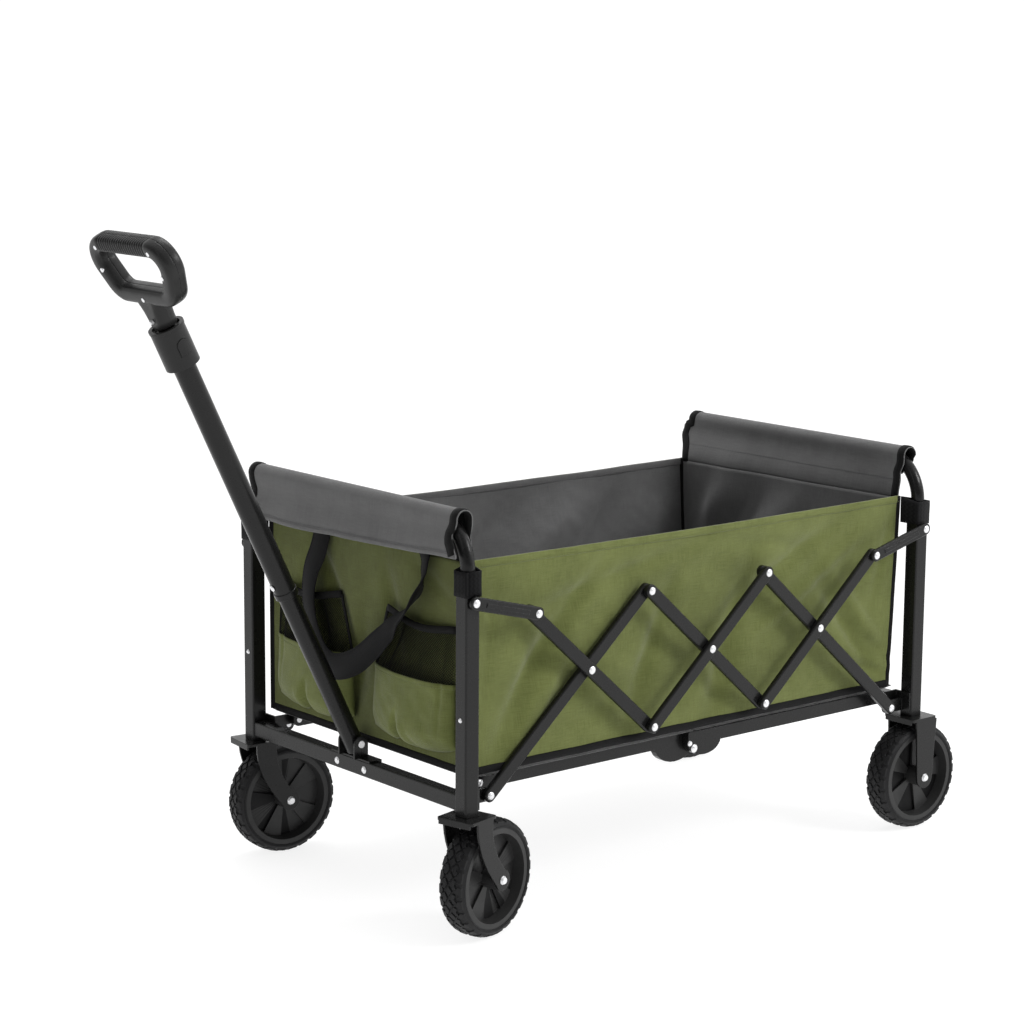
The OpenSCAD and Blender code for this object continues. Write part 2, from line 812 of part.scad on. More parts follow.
// One half of the loop, swept round its centre line with the shell's outline
module grip_half_loop(half) {
    outline = grip_outline();
    rings = grip_loop();
    m = len(outline);
    n = len(rings);
    points = [for (ring = rings) for (p = outline)
        [half * p[0], ring[0] + p[1] * cos(ring[2]), ring[1] + p[1] * sin(ring[2])]];
    faces = [for (i = [0 : n - 1]) for (j = [0 : m - 1])
        let (k = (i + 1) % n, l = (j + 1) % m) [k * m + j, k * m + l, i * m + l, i * m + j]];
    polyhedron(points, half > 0 ? faces : [for (f = faces) [f[3], f[2], f[1], f[0]]]);
}

module grip_shell(half) {
    grip_half_loop(half);
    // neck that clasps the inner tube
    difference() {
        cylinder_cone(collar_s[1] + 1, grip_reach - 7, 18, 21);
        cylinder_from(collar_s[1], grip_reach - grip_bar[1] - 1, inner_tube_r + fit);
        translate([half > 0 ? -50 : 0, -50, collar_s[1]]) cube([50, 100, 60]);
    }
}

module cylinder_cone(z0, z1, r0, r1) {
    translate([0, 0, z0]) cylinder(r1 = r0, r2 = r1, h = z1 - z0);
}

module grip_front_shell() {
    color("black") lean() grip_shell(-1);
}

module grip_back_shell() {
    color("black") lean() grip_shell(1);
}

module grip_screws() {
    spots = [[66, grip_top_s - 3], [-66, grip_top_s - 3], [75, grip_reach + 37], [-75, grip_reach + 37],
             [0, grip_reach - 2]];
    color("silver") lean() {
        for (p = spots) translate([-grip_bar[0] - 0.6, p[0], p[1]]) rotate([0, 90, 0])
            cylinder(r = 3.2, h = 5);
        translate([-20, 0, collar_s[1] + 14]) rotate([0, 90, 0]) cylinder(r = 3, h = 5);
    }
}

post(FRONT, LEFT);  // front_post_left
post(FRONT, RIGHT);  // front_post_right
crossbar(FRONT);  // front_crossbar
top_rail(FRONT);  // front_top_rail
handle_bracket();
front_rivets();
end_panel(FRONT, "olivedrab");  // front_panel
sleeve(FRONT);  // front_sleeve
front_pockets();
front_webbing();
side_panel(LEFT);  // side_panel_left
side_panel(RIGHT);  // side_panel_right
post(REAR, LEFT);  // rear_post_left
post(REAR, RIGHT);  // rear_post_right
crossbar(REAR);  // rear_crossbar
top_rail(REAR);  // rear_top_rail
rear_forks();
rear_rivets();
end_panel(REAR, "gray");  // rear_panel
sleeve(REAR);  // rear_sleeve
rear_webbing();
lower_front_bars();
upper_front_bars();
mid_rising_bars();
mid_falling_bars();
upper_rear_bars();
lower_rear_bars();
front_links();
rear_links();
lower_front_rivets();
mid_rising_rivets();
upper_rear_rivets();
front_link_rivets();
rear_link_rivets();
front_floor_frame();
rear_floor_frame();
floor_board(FRONT);  // front_floor_board
floor_board(REAR);  // rear_floor_board
floor_pins();
handle_lower_tube();
handle_upper_tube();
handle_collar();
handle_button();
handle_inner_tube();
grip_front_shell();
grip_back_shell();
grip_screws();
placed_caster_fork(LEFT, left_swivel);  // caster_fork_left
placed_caster_fork(RIGHT, right_swivel);  // caster_fork_right
placed_caster_axle(LEFT, left_swivel);  // caster_axle_left
placed_caster_axle(RIGHT, right_swivel);  // caster_axle_right
front_wheel(LEFT, left_swivel, 25);  // front_wheel_left
front_wheel(RIGHT, right_swivel, 35);  // front_wheel_right
rear_wheel(LEFT, 5);  // rear_wheel_left
rear_wheel(RIGHT, 60);  // rear_wheel_right
front_tyre(LEFT, left_swivel);  // front_tyre_left
front_tyre(RIGHT, right_swivel);  // front_tyre_right
rear_tyre(LEFT);  // rear_tyre_left
rear_tyre(RIGHT);  // rear_tyre_right
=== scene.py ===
"""Looks of the folding camp wagon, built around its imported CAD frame.

Lengths in this file are millimetres in the wagon's own axes: x from the middle between the posts,
y to the right-hand side and z up from the ground. place() turns them into the frame's metres.
"""
import json
import math

import bpy
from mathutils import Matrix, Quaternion, Vector, noise


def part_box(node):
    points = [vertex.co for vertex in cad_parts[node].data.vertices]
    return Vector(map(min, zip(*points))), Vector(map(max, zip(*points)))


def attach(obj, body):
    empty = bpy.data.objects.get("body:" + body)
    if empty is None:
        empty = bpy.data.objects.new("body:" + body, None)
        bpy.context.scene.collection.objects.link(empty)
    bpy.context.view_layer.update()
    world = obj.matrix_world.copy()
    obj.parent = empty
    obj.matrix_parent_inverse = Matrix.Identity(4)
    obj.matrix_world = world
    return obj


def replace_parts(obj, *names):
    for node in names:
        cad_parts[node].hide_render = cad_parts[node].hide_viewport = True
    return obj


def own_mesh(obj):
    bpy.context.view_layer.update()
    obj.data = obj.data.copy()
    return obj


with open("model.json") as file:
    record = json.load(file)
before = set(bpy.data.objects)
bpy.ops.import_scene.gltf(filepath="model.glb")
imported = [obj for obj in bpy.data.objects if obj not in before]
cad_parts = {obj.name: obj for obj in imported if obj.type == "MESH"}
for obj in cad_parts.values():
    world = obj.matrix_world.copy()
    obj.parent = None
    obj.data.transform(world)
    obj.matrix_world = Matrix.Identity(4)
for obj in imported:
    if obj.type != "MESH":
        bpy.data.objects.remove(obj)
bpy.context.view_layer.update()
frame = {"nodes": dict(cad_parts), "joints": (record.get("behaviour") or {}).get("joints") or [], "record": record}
nodes = frame["nodes"]
scene = bpy.context.scene
MM = 0.001
SIDES = (-1, 1)
SIDE_NAMES = {-1: "left", 1: "right"}
ENDS = {-1: "front", 1: "rear"}
UP = Vector((0, 0, 1))


# ---------- sizes, all read from the frame ----------

def low(node, axis):
    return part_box(node)[0][axis] / MM


def high(node, axis):
    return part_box(node)[1][axis] / MM


def centre(node, axis):
    return (low(node, axis) + high(node, axis)) / 2


middle_x = (centre("front_post_left", 0) + centre("rear_post_left", 0)) / 2


def place(x, y, z):
    """A point of the wagon, in millimetres, as a point of the frame."""
    return Vector(((x + middle_x) * MM, y * MM, z * MM))


post_x = (centre("rear_post_left", 0) - centre("front_post_left", 0)) / 2
post_y = centre("front_post_right", 1)
post_half = (high("front_post_right", 1) - low("front_post_right", 1)) / 2
rail_r = (high("front_top_rail", 0) - low("front_top_rail", 0)) / 2
rail_z = high("front_top_rail", 2) - rail_r
bay_low = low("side_panel_left", 2)
bay_top = high("side_panel_left", 2)
side_y = high("side_panel_right", 1) - 1
end_x = high("rear_panel", 0) - middle_x - 1
floor_top = high("front_floor_board", 2)
post_top_z = high("front_post_left", 2)
wheel_r = high("rear_tyre_left", 2) / 2
tyre_half = (high("rear_tyre_left", 1) - low("rear_tyre_left", 1)) / 2


# ---------- camera, light and floor ----------

def put(name, data, spot, direction):
    """A camera or light at spot, turned to look along direction."""
    thing = bpy.data.objects.new(name, data)
    thing.location = spot
    thing.rotation_mode = "QUATERNION"
    thing.rotation_quaternion = direction.to_track_quat("-Z", "Y")
    scene.collection.objects.link(thing)
    return thing


def make_camera():
    azimuth, pitch, roll = math.radians(39.46), math.radians(10.33), math.radians(0.41)
    distance = 4.0098
    back = Vector((-math.sin(azimuth) * math.cos(pitch), -math.cos(azimuth) * math.cos(pitch), math.sin(pitch)))
    data = bpy.data.cameras.new("camera")
    data.lens = 94.17
    data.clip_end = 120
    camera = put("camera", data, place(-159.9, 0, 539.4) + back * distance, -back)
    camera.rotation_quaternion = camera.rotation_quaternion @ Quaternion((0, 0, 1), roll)
    scene.camera = camera


def area_light(name, spot, aim, size, power):
    data = bpy.data.lights.new(name, "AREA")
    data.shape = "RECTANGLE"
    data.size, data.size_y = size
    data.energy = power
    put(name, data, Vector(spot), Vector(aim) - Vector(spot))


def make_lights():
    """A white sweep: bright behind the wagon and to the right, half as bright on the camera's left."""
    n = Nodes("studio", bpy.data.worlds)
    bright_side = (0.74, 0.42, 0.38)
    direction = n.add("ShaderNodeTexCoord").outputs["Generated"]
    background = n.tree.nodes["Background"]
    n.set(background, "Color", n.span(n.dot(direction, bright_side), -0.45, 0.4, 0.13, 1.08))
    n.set(background, "Strength", 1.0)
    scene.world = n.owner
    scene.view_settings.view_transform = "Standard"
    aim = (0.1, 0, 0.4)
    area_light("key", (1.9, -2.7, 2.5), aim, (1.1, 1.0), 58)
    area_light("top", (0.5, 0.5, 3.4), aim, (1.6, 1.0), 34)
    area_light("glints", (-2.9, -1.2, 2.2), aim, (0.35, 1.6), 4)


def make_floor():
    mesh = bpy.data.meshes.new("floor")
    half = 40.0
    mesh.from_pydata([(-half, -half, 0), (half, -half, 0), (half, half, 0), (-half, half, 0)], [], [(0, 1, 2, 3)])
    floor = bpy.data.objects.new("floor", mesh)
    scene.collection.objects.link(floor)
    floor.data.materials.append(paper())


# ---------- materials ----------

def srgb(*colour):
    """A colour given as 0 to 255 sRGB, as linear RGBA."""
    return tuple((c / 255 / 12.92 if c <= 10 else ((c / 255 + 0.055) / 1.055) ** 2.4) for c in colour) + (1,)


class Nodes:
    """Short ways to add shader nodes to a new material or world."""

    def __init__(self, name, kind=bpy.data.materials):
        self.owner = kind.new(name)
        self.owner.use_nodes = True
        self.tree = self.owner.node_tree

    def add(self, kind, inputs=None, **settings):
        node = self.tree.nodes.new(kind)
        for key, value in settings.items():
            setattr(node, key, value)
        for key, value in (inputs or {}).items():
            self.set(node, key, value)
        return node

    def set(self, node, key, value):
        if isinstance(value, bpy.types.NodeSocket):
            self.tree.links.new(value, node.inputs[key])
        else:
            node.inputs[key].default_value = value

    def math(self, operation, a, b=0.0):
        return self.add("ShaderNodeMath", {0: a, 1: b}, operation=operation).outputs[0]

    def dot(self, a, b):
        return self.add("ShaderNodeVectorMath", {0: a, 1: b}, operation="DOT_PRODUCT").outputs["Value"]

    def plus(self, a, b):
        return self.math("ADD", a, b)

    def times(self, a, b):
        return self.math("MULTIPLY", a, b)

    def sine(self, a):
        return self.math("SINE", a)

    def noise(self, vector, scale, detail=2.0, roughness=0.5):
        inputs = {"Vector": vector, "Scale": scale, "Detail": detail, "Roughness": roughness}
        return self.add("ShaderNodeTexNoise", inputs).outputs["Fac"]

    def ramp(self, factor, low, high, colours):
        """Colours between two values of factor."""
        return self.mix(self.span(factor, low, high, 0.0, 1.0), *colours)

    def mix(self, factor, a, b):
        return self.add("ShaderNodeMix", {0: factor, 6: a, 7: b}, data_type="RGBA").outputs[2]

    def span(self, factor, low, high, to_low, to_high):
        return self.add("ShaderNodeMapRange", {"Value": factor, "From Min": low, "From Max": high,
                                               "To Min": to_low, "To Max": to_high}).outputs[0]

    def bump(self, height, distance, strength=1.0, normal=None):
        inputs = {"Height": height, "Distance": distance, "Strength": strength}
        if normal is not None:
            inputs["Normal"] = normal
        return self.add("ShaderNodeBump", inputs).outputs[0]

    def object_point(self):
        return self.add("ShaderNodeTexCoord").outputs["Object"]

    def uv(self):
        return self.add("ShaderNodeUVMap", uv_map="UVMap").outputs["UV"]

    def principled(self, **values):
        shader = self.tree.nodes["Principled BSDF"]
        for key, value in values.items():
            self.set(shader, key.replace("_", " "), value)
        return self.owner


def paper():
    """A white sweep lit a little from itself, so that only a faint shadow shows under the wheels."""
    n = Nodes("floor_paper")
    grain = n.noise(n.object_point(), 90, 3)
    return n.principled(Base_Color=n.ramp(grain, 0.3, 0.7, (srgb(150, 150, 150), srgb(154, 154, 154))),
                        Roughness=0.9, Specular_IOR_Level=0.0, Emission_Color=(1, 1, 1, 1), Emission_Strength=0.84)


def edge_nearness(n, radius):
    """How near a sharp edge a point is, from 0 on a flat to 1 on an edge, and the rounded normal."""
    rounded = n.add("ShaderNodeBevel", {"Radius": radius}, samples=4).outputs[0]
    true_normal = n.add("ShaderNodeNewGeometry").outputs["Normal"]
    return n.span(n.dot(rounded, true_normal), 1.0, 0.72, 0.0, 1.0), rounded


def powder_coat(name, colour, wear_and_highlight, roughness):
    """Satin black powder coat: fine orange peel, faint cloudiness and a paler line on the edges, partly rubbed
    paint and partly a painted highlight.
    """
    n = Nodes(name)
    point = n.object_point()
    edge, rounded = edge_nearness(n, 0.0019)
    cloud = n.noise(point, 7, 3)
    # paler patchy line on the edges: partly rubbed paint, partly a painted highlight
    rub_and_highlight = n.times(edge, n.span(n.noise(point, 60, 4), 0.38, 0.62, 0.15, 1.0))
    body = n.ramp(cloud, 0.3, 0.7, (colour, tuple(c * 1.16 for c in colour[:3]) + (1,)))
    peel = n.noise(point, 950, 2)
    dust = n.noise(point, 38, 5, 0.7)
    rough = n.span(dust, 0.3, 0.75, roughness - 0.05, roughness + 0.09)
    return n.principled(Base_Color=n.mix(rub_and_highlight, body, wear_and_highlight), Roughness=rough, Specular_IOR_Level=0.2,
                        Coat_Weight=0.12, Coat_Roughness=0.14,
                        Normal=n.bump(peel, 0.00006, 0.5, rounded))


def zinc():
    """Bright zinc plate: brushed in rings too fine to see singly, with a soft cloud."""
    n = Nodes("zinc_plate")
    point = n.object_point()
    _, rounded = edge_nearness(n, 0.0007)
    cloud = n.noise(point, 220, 3)
    return n.principled(Base_Color=n.ramp(cloud, 0.3, 0.7, (srgb(236, 237, 240), srgb(252, 252, 253))),
                        Metallic=0.45, Roughness=n.span(cloud, 0.3, 0.7, 0.26, 0.4),
                        Normal=n.bump(n.noise(point, 1500, 2), 0.00003, 0.6, rounded))


def moulded(name, colour, roughness, grain=900.0, depth=0.00006):
    """Black moulded plastic or rubber with a fine spark-eroded grain."""
    n = Nodes(name)
    point = n.object_point()
    edge, rounded = edge_nearness(n, 0.0008)
    cloud = n.noise(point, 16, 4)
    body = n.ramp(cloud, 0.3, 0.7, (colour, tuple(c * 1.25 for c in colour[:3]) + (1,)))
    pale = tuple(min(1.0, c * 1.9 + 0.006) for c in colour[:3]) + (1,)
    rubbed = n.mix(n.times(edge, 0.35), body, pale)
    return n.principled(Base_Color=rubbed, Roughness=n.span(n.noise(point, 45, 4), 0.3, 0.7,
                                                            roughness - 0.05, roughness + 0.07),
                        Specular_IOR_Level=0.24, Normal=n.bump(n.noise(point, grain, 2), depth, 0.7, rounded))


def woven(name, dark, light, pitch=0.9, sheen=0.25, roughness=0.82, depth=0.00028, blotch=0.15):
    """Plain-weave polyester. Threads cross every pitch millimetres; slubs and soft blotches break them up."""
    n = Nodes(name)
    split = n.add("ShaderNodeSeparateXYZ", {0: n.uv()})
    turn = math.pi / (pitch * MM)
    wobble = n.times(n.math("SUBTRACT", n.noise(n.uv(), 260, 2), 0.5), 1.3)
    across = n.sine(n.plus(n.times(split.outputs[0], turn), wobble))
    along = n.sine(n.plus(n.times(split.outputs[1], turn), wobble))
    over = n.times(n.math("ABSOLUTE", across), n.math("ABSOLUTE", along))
    under = n.times(across, along)
    thread = n.plus(n.times(over, 0.55), n.times(under, 0.35))
    slub_u = n.add("ShaderNodeMapping", {"Vector": n.uv(), "Scale": (40, 900, 1)}).outputs[0]
    slub_v = n.add("ShaderNodeMapping", {"Vector": n.uv(), "Scale": (900, 40, 1)}).outputs[0]
    slubs = n.plus(n.noise(slub_u, 1.0, 2), n.noise(slub_v, 1.0, 2))
    blotches = n.noise(n.uv(), 14, 4, 0.6)
    tone = n.plus(n.span(thread, -0.3, 0.8, 0.12, 0.7),
                  n.plus(n.span(slubs, 0.7, 1.3, -0.16, 0.16), n.span(blotches, 0.3, 0.7, -blotch, blotch)))
    height = n.plus(thread, n.times(slubs, 0.5))
    return n.principled(Base_Color=n.ramp(tone, 0.0, 1.0, (dark, light)), Roughness=roughness,
                        Sheen_Weight=sheen, Sheen_Roughness=0.45, Specular_IOR_Level=0.12,
                        Normal=n.bump(height, depth, 0.8))


def webbing_cloth(name, dark, light, rib=1.6):
    """Nylon webbing: fat ribs across the strap, with a herringbone of finer threads."""
    n = Nodes(name)
    split = n.add("ShaderNodeSeparateXYZ", {0: n.uv()})
    turn = math.pi / (rib * MM)
    slant = n.times(n.math("ABSOLUTE", n.sine(n.times(split.outputs[1], 420))), 1.4)
    ribs = n.math("ABSOLUTE", n.sine(n.plus(n.times(split.outputs[0], turn), slant)))
    fuzz = n.noise(n.object_point(), 1300, 2)
    tone = n.plus(n.times(ribs, 0.6), n.times(fuzz, 0.4))
    return n.principled(Base_Color=n.ramp(tone, 0.1, 1.0, (dark, light)), Roughness=0.7, Sheen_Weight=0.04,
                        Sheen_Roughness=0.4, Specular_IOR_Level=0.12, Normal=n.bump(tone, 0.0003, 0.8))


def make_materials():
    return {
        # the paler edge colour is partly rubbed paint, partly a painted highlight
        "frame_paint": powder_coat("frame_paint", srgb(22, 22, 22), srgb(60, 60, 60), 0.27),
        "zinc": zinc(),
        "wheel_plastic": moulded("wheel_plastic", srgb(46, 46, 46), 0.4),
        # near-black plastic for the web between the spokes: painted shade of the deep recesses
        "painted_shade_recess": moulded("painted_shade_recess", srgb(9, 9, 10), 0.6),
        "tread": moulded("tread_rubber", srgb(26, 26, 27), 0.55, 600.0, 0.0001),
        "grip_plastic": moulded("grip_plastic", srgb(33, 33, 33), 0.36),
        "green": woven("green_polyester", srgb(82, 89, 44), srgb(133, 141, 84)),
        # the same green polyester made darker for the end walls: painted shade
        "green_painted_shade": woven("green_polyester_painted_shade", srgb(72, 77, 38), srgb(118, 125, 72)),
        "grey": woven("grey_polyester", srgb(88, 88, 88), srgb(118, 118, 118)),
        "binding": woven("black_binding", srgb(12, 12, 12), srgb(30, 30, 30), 0.7, 0.03, 0.7, 0.00018),
        "webbing": webbing_cloth("black_webbing", srgb(7, 7, 8), srgb(28, 28, 29)),
        "mesh": webbing_cloth("black_mesh", srgb(5, 5, 6), srgb(18, 18, 19), 0.5),
        "thread_green": webbing_cloth("green_thread", srgb(86, 92, 54), srgb(132, 140, 90), 0.4),
        "thread_grey": webbing_cloth("grey_thread", srgb(80, 80, 82), srgb(120, 120, 122), 0.4),
        "thread_black": webbing_cloth("black_thread", srgb(12, 12, 13), srgb(40, 40, 42), 0.4),
    }


make_camera()
make_lights()
make_floor()
MATERIALS = make_materials()
CLOTH_SLOTS = {"green_cloth": "green", "grey_cloth": "grey"}      # the other slots are named as their materials


def paint_recess_shade(wheel):
    """Paints the thin web between a wheel's spokes near-black: painted shade for the deep recesses."""
    wheel.data.materials.append(MATERIALS["painted_shade_recess"])
    axle = Vector((centre(wheel.name, 0), centre(wheel.name, 1), centre(wheel.name, 2))) * MM
    for polygon in wheel.data.polygons:
        spot = wheel.matrix_world @ polygon.center - axle
        radius = math.hypot(spot.x, spot.z)
        if abs(spot.y) < 2.2 * MM and 14 * MM < radius < 61.5 * MM:
            polygon.material_index = 1


def paint_cad_nodes():
    for row in frame["record"]["subparts"]:
        cad_node, slot = nodes[row["node"]], row["material_slot"]
        cad_node.data.materials.clear()
        cad_node.data.materials.append(MATERIALS[CLOTH_SLOTS.get(slot, slot)])
        if row["node"].endswith(("_wheel_left", "_wheel_right")):
            paint_recess_shade(cad_node)


paint_cad_nodes()


# ---------- mesh helpers ----------

class Shape:
    """Points, faces, materials and cloth coordinates gathered before they become one mesh."""

    def __init__(self):
        self.points = []
        self.faces = []
        self.slots = []
        self.flats = []

    def point(self, p):
        self.points.append(Vector(p))
        return len(self.points) - 1

    def face(self, corners, slot=0, flat=None):
        self.faces.append(tuple(corners))
        self.slots.append(slot)
        self.flats.append(flat or [(self.points[i].x, self.points[i].z) for i in corners])

    def join(self, a, b, closed=True, turned=False):
        """Quads between two rings or rows of points. turned makes them face the other way."""
        for k in range(len(a) if closed else len(a) - 1):
            l = (k + 1) % len(a)
            self.face((a[k], b[k], b[l], a[l]) if turned else (a[k], a[l], b[l], b[k]), 0, [(0, 0)] * 4)

    def build(self, name, materials, body, record_slot, soft_shading=True):
        mesh = bpy.data.meshes.new(name)
        mesh.from_pydata([tuple(p) for p in self.points], [], self.faces)
        for material in materials:
            mesh.materials.append(MATERIALS[material])
        layer = mesh.uv_layers.new(name="UVMap")
        flat = [uv for corners in self.flats for uv in corners]
        layer.data.foreach_set("uv", [c for uv in flat for c in uv])
        mesh.polygons.foreach_set("material_index", self.slots)
        mesh.polygons.foreach_set("use_smooth", [soft_shading] * len(self.faces))
        mesh.update()
        piece = bpy.data.objects.new(name, mesh)
        scene.collection.objects.link(piece)
        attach(piece, body)
        return piece


def run_length(points):
    return sum((b - a).length for a, b in zip(points, points[1:]))


def add_shell(shape, grid, thickness, slots=(0, 0, 0)):
    """Cloth of some thickness (mm) about a grid of points: outer face, inner face and rim."""
    rows, cols = len(grid), len(grid[0])
    half = thickness * MM / 2
    middle_row, middle_col = grid[rows // 2], [row[cols // 2] for row in grid]
    step_u = run_length(middle_row) / (cols - 1)
    step_v = run_length(middle_col) / (rows - 1)
    outer, inner = [], []
    for r in range(rows):
        for c in range(cols):
            across = grid[r][min(c + 1, cols - 1)] - grid[r][max(c - 1, 0)]
            up = grid[min(r + 1, rows - 1)][c] - grid[max(r - 1, 0)][c]
            normal = across.cross(up).normalized()
            outer.append(shape.point(grid[r][c] + normal * half))
            inner.append(shape.point(grid[r][c] - normal * half))

    def at(r, c):
        return r * cols + c

    for r in range(rows - 1):
        for c in range(cols - 1):
            corners = ((r, c), (r, c + 1), (r + 1, c + 1), (r + 1, c))
            ring = [at(*corner) for corner in corners]
            flat = [(j * step_u, i * step_v) for i, j in corners]
            shape.face([outer[i] for i in ring], slots[0], flat)
            shape.face([inner[i] for i in reversed(ring)], slots[1], flat[::-1])
    rim = ([at(0, c) for c in range(cols)] + [at(r, cols - 1) for r in range(1, rows)]
           + [at(rows - 1, c) for c in range(cols - 2, -1, -1)] + [at(r, 0) for r in range(rows - 2, 0, -1)])
    for k, a in enumerate(rim):
        b = rim[(k + 1) % len(rim)]
        shape.face((outer[a], inner[a], inner[b], outer[b]), slots[2],
                   [(k * step_u, 0), (k * step_u, half), ((k + 1) * step_u, half), ((k + 1) * step_u, 0)])


def grid_of(surface, cols, rows, mirrored=False):
    """Points of surface(u, v) with u and v from 0 to 1. mirrored turns the grid's outer face round."""
    grid = [[surface(c / (cols - 1), r / (rows - 1)) for c in range(cols)] for r in range(rows)]
    return [row[::-1] for row in grid] if mirrored else grid


def tangent_at(path, i):
    return (path[min(i + 1, len(path) - 1)] - path[max(i - 1, 0)]).normalized()


def add_sweep(shape, path, across, profile, slot=0):
    """Sweeps a closed profile (mm) along path. across gives the direction of the profile's first axis."""
    rings, runs, girth = [], [0.0], [0.0]
    for i, p in enumerate(path):
        tangent = tangent_at(path, i)
        side = across[i] if isinstance(across, list) else across
        side = (side - tangent * side.dot(tangent)).normalized()
        normal = tangent.cross(side)
        rings.append([shape.point(p + side * (a * MM) + normal * (b * MM)) for a, b in profile])
    for a, b in zip(path, path[1:]):
        runs.append(runs[-1] + (b - a).length)
    for a, b in zip(profile, profile[1:] + profile[:1]):
        girth.append(girth[-1] + math.dist(a, b) * MM)
    count = len(profile)
    for i in range(len(path) - 1):
        for k in range(count):
            l = (k + 1) % count
            shape.face((rings[i][k], rings[i][l], rings[i + 1][l], rings[i + 1][k]), slot,
                       [(runs[i], girth[k]), (runs[i], girth[k + 1]),
                        (runs[i + 1], girth[k + 1]), (runs[i + 1], girth[k])])
    shape.face(rings[0][::-1], slot, [(0, k * MM) for k in range(count)])
    shape.face(rings[-1], slot, [(runs[-1], k * MM) for k in range(count)])


def band(width, thickness, bulge):
    """Profile of a flat tape with rounded edges."""
    w, t = width / 2, thickness / 2
    return [(-w, 0), (-w + t * 0.7, -t), (0, -t - bulge), (w - t * 0.7, -t), (w, 0), (w - t * 0.7, t),
            (0, t + bulge), (-w + t * 0.7, t)]


def smooth_path(points, steps):
    """A Catmull-Rom curve through points."""
    out = []
    for i in range(len(points) - 1):
        a = points[max(i - 1, 0)]
        b, c = points[i], points[i + 1]
        d = points[min(i + 2, len(points) - 1)]
        for k in range(steps):
            t = k / steps
            out.append(b * (1 - 2.5 * t * t + 1.5 * t ** 3) + c * (0.5 * t + 2 * t * t - 1.5 * t ** 3)
                       + a * (-0.5 * t + t * t - 0.5 * t ** 3) + d * (-0.5 * t * t + 0.5 * t ** 3))
    out.append(points[-1])
    return out


def add_stitches(shape, path, outward, slot=0, length=3.4, space=1.3, radius=0.42):
    """Thread stitches along path, small capsules half sunk in the cloth. outward is a vector or one a point."""
    pitch = (length + space) * MM
    run, target = 0.0, 0.0
    for i in range(len(path) - 1):
        a, b = path[i], path[i + 1]
        seg = (b - a).length
        if seg < 1e-9:
            continue
        along = (b - a) / seg
        up = outward[i] if isinstance(outward, list) else outward
        up = (up - along * up.dot(along)).normalized()
        side = along.cross(up)
        while target <= run + seg:
            start = a + along * (target - run)
            ends = []      # four rings of four points, narrow at both tips
            for s, r in ((0, 0.35), (0.25, 1), (0.75, 1), (1, 0.35)):
                p = start + along * (length * MM * s) + up * (0.25 * MM * (1 - abs(2 * s - 1)))
                ends.append([shape.point(p + (side * math.cos(k * math.pi / 2) + up * math.sin(k * math.pi / 2))
                                         * (radius * r * MM)) for k in range(4)])
            for j in range(3):
                for k in range(4):
                    l = (k + 1) % 4
                    shape.face((ends[j][k], ends[j][l], ends[j + 1][l], ends[j + 1][k]), slot,
                               [(j * MM, k * MM)] * 4)
            shape.face(ends[0][::-1], slot, [(0, 0)] * 4)
            shape.face(ends[3], slot, [(0, 0)] * 4)
            target += pitch
        run += seg


# ---------- fabric bay ----------

CLOTH_T = 1.5
BINDING_T = 3.6
RAIL_TANGENT = rail_r + 2.8      # how far the cover stands from the rail's axis
OUTWARD_ROOM = 2.3               # between a side wall and the scissor bars
END_OUTWARD_ROOM = 1.5


def smooth(t):
    t = min(max(t, 0.0), 1.0)
    return t * t * (3 - 2 * t)


def ripple(a, b, seed, size):
    """Smooth noise from -1 to 1 over two lengths in millimetres."""
    return noise.noise(Vector((a / size, b / size, seed * 7.31)))


def fold_line(a, b, spot, angle, width, length):
    """A soft crease: 1 on a line through spot, fading across its width and along its length."""
    turn = math.radians(angle)
    da, db = a - spot[0], b - spot[1]
    along_line = da * math.cos(turn) + db * math.sin(turn)
    across_line = -da * math.sin(turn) + db * math.cos(turn)
    return math.exp(-(across_line / width) ** 2 - (along_line / length) ** 2)


def limited(offset, room):
    """An offset that may go inward freely and outward less than room."""
    return offset if offset < 0 else room * math.tanh(offset / room)


def rear_x(side_share, z):
    """The rear wall's x. side_share runs from -1 at the left side to 1 at the right."""
    v = (z - bay_low) / (bay_top - bay_low)
    left = end_x - 17 + 13 * v
    right = end_x - 5 - 18 * smooth(v)
    t = (side_share + 1) / 2
    return left + (right - left) * t


SIDE_FOLDS = {    # where, lean, width, length and height of a wall's soft creases, in millimetres and degrees
    -1: (((-350, 320), 58, 17, 120, -12), ((-318, 300), 52, 12, 90, 8), ((-260, 430), 48, 15, 130, -9),
         ((-120, 492), 12, 13, 180, -9), ((-90, 360), 66, 16, 100, -8), ((60, 330), 72, 20, 110, -10),
         ((120, 500), -10, 12, 120, -7), ((210, 470), 26, 14, 130, -10), ((236, 420), 30, 11, 110, 6),
         ((330, 330), -52, 14, 100, -12), ((352, 352), -50, 9, 80, 8), ((395, 292), -38, 8, 50, -9),
         ((384, 276), -24, 6, 50, 7), ((376, 262), -18, 6, 50, -9), ((400, 470), 75, 9, 80, -8),
         ((-400, 420), 84, 10, 100, -7)),
    1: (((-180, 470), 35, 40, 160, -15), ((-40, 430), 40, 30, 170, 8), ((90, 420), 42, 46, 200, -17),
        ((240, 470), 48, 26, 130, 8), ((330, 400), 55, 34, 160, -16), ((-330, 400), -40, 40, 120, -12)),
}


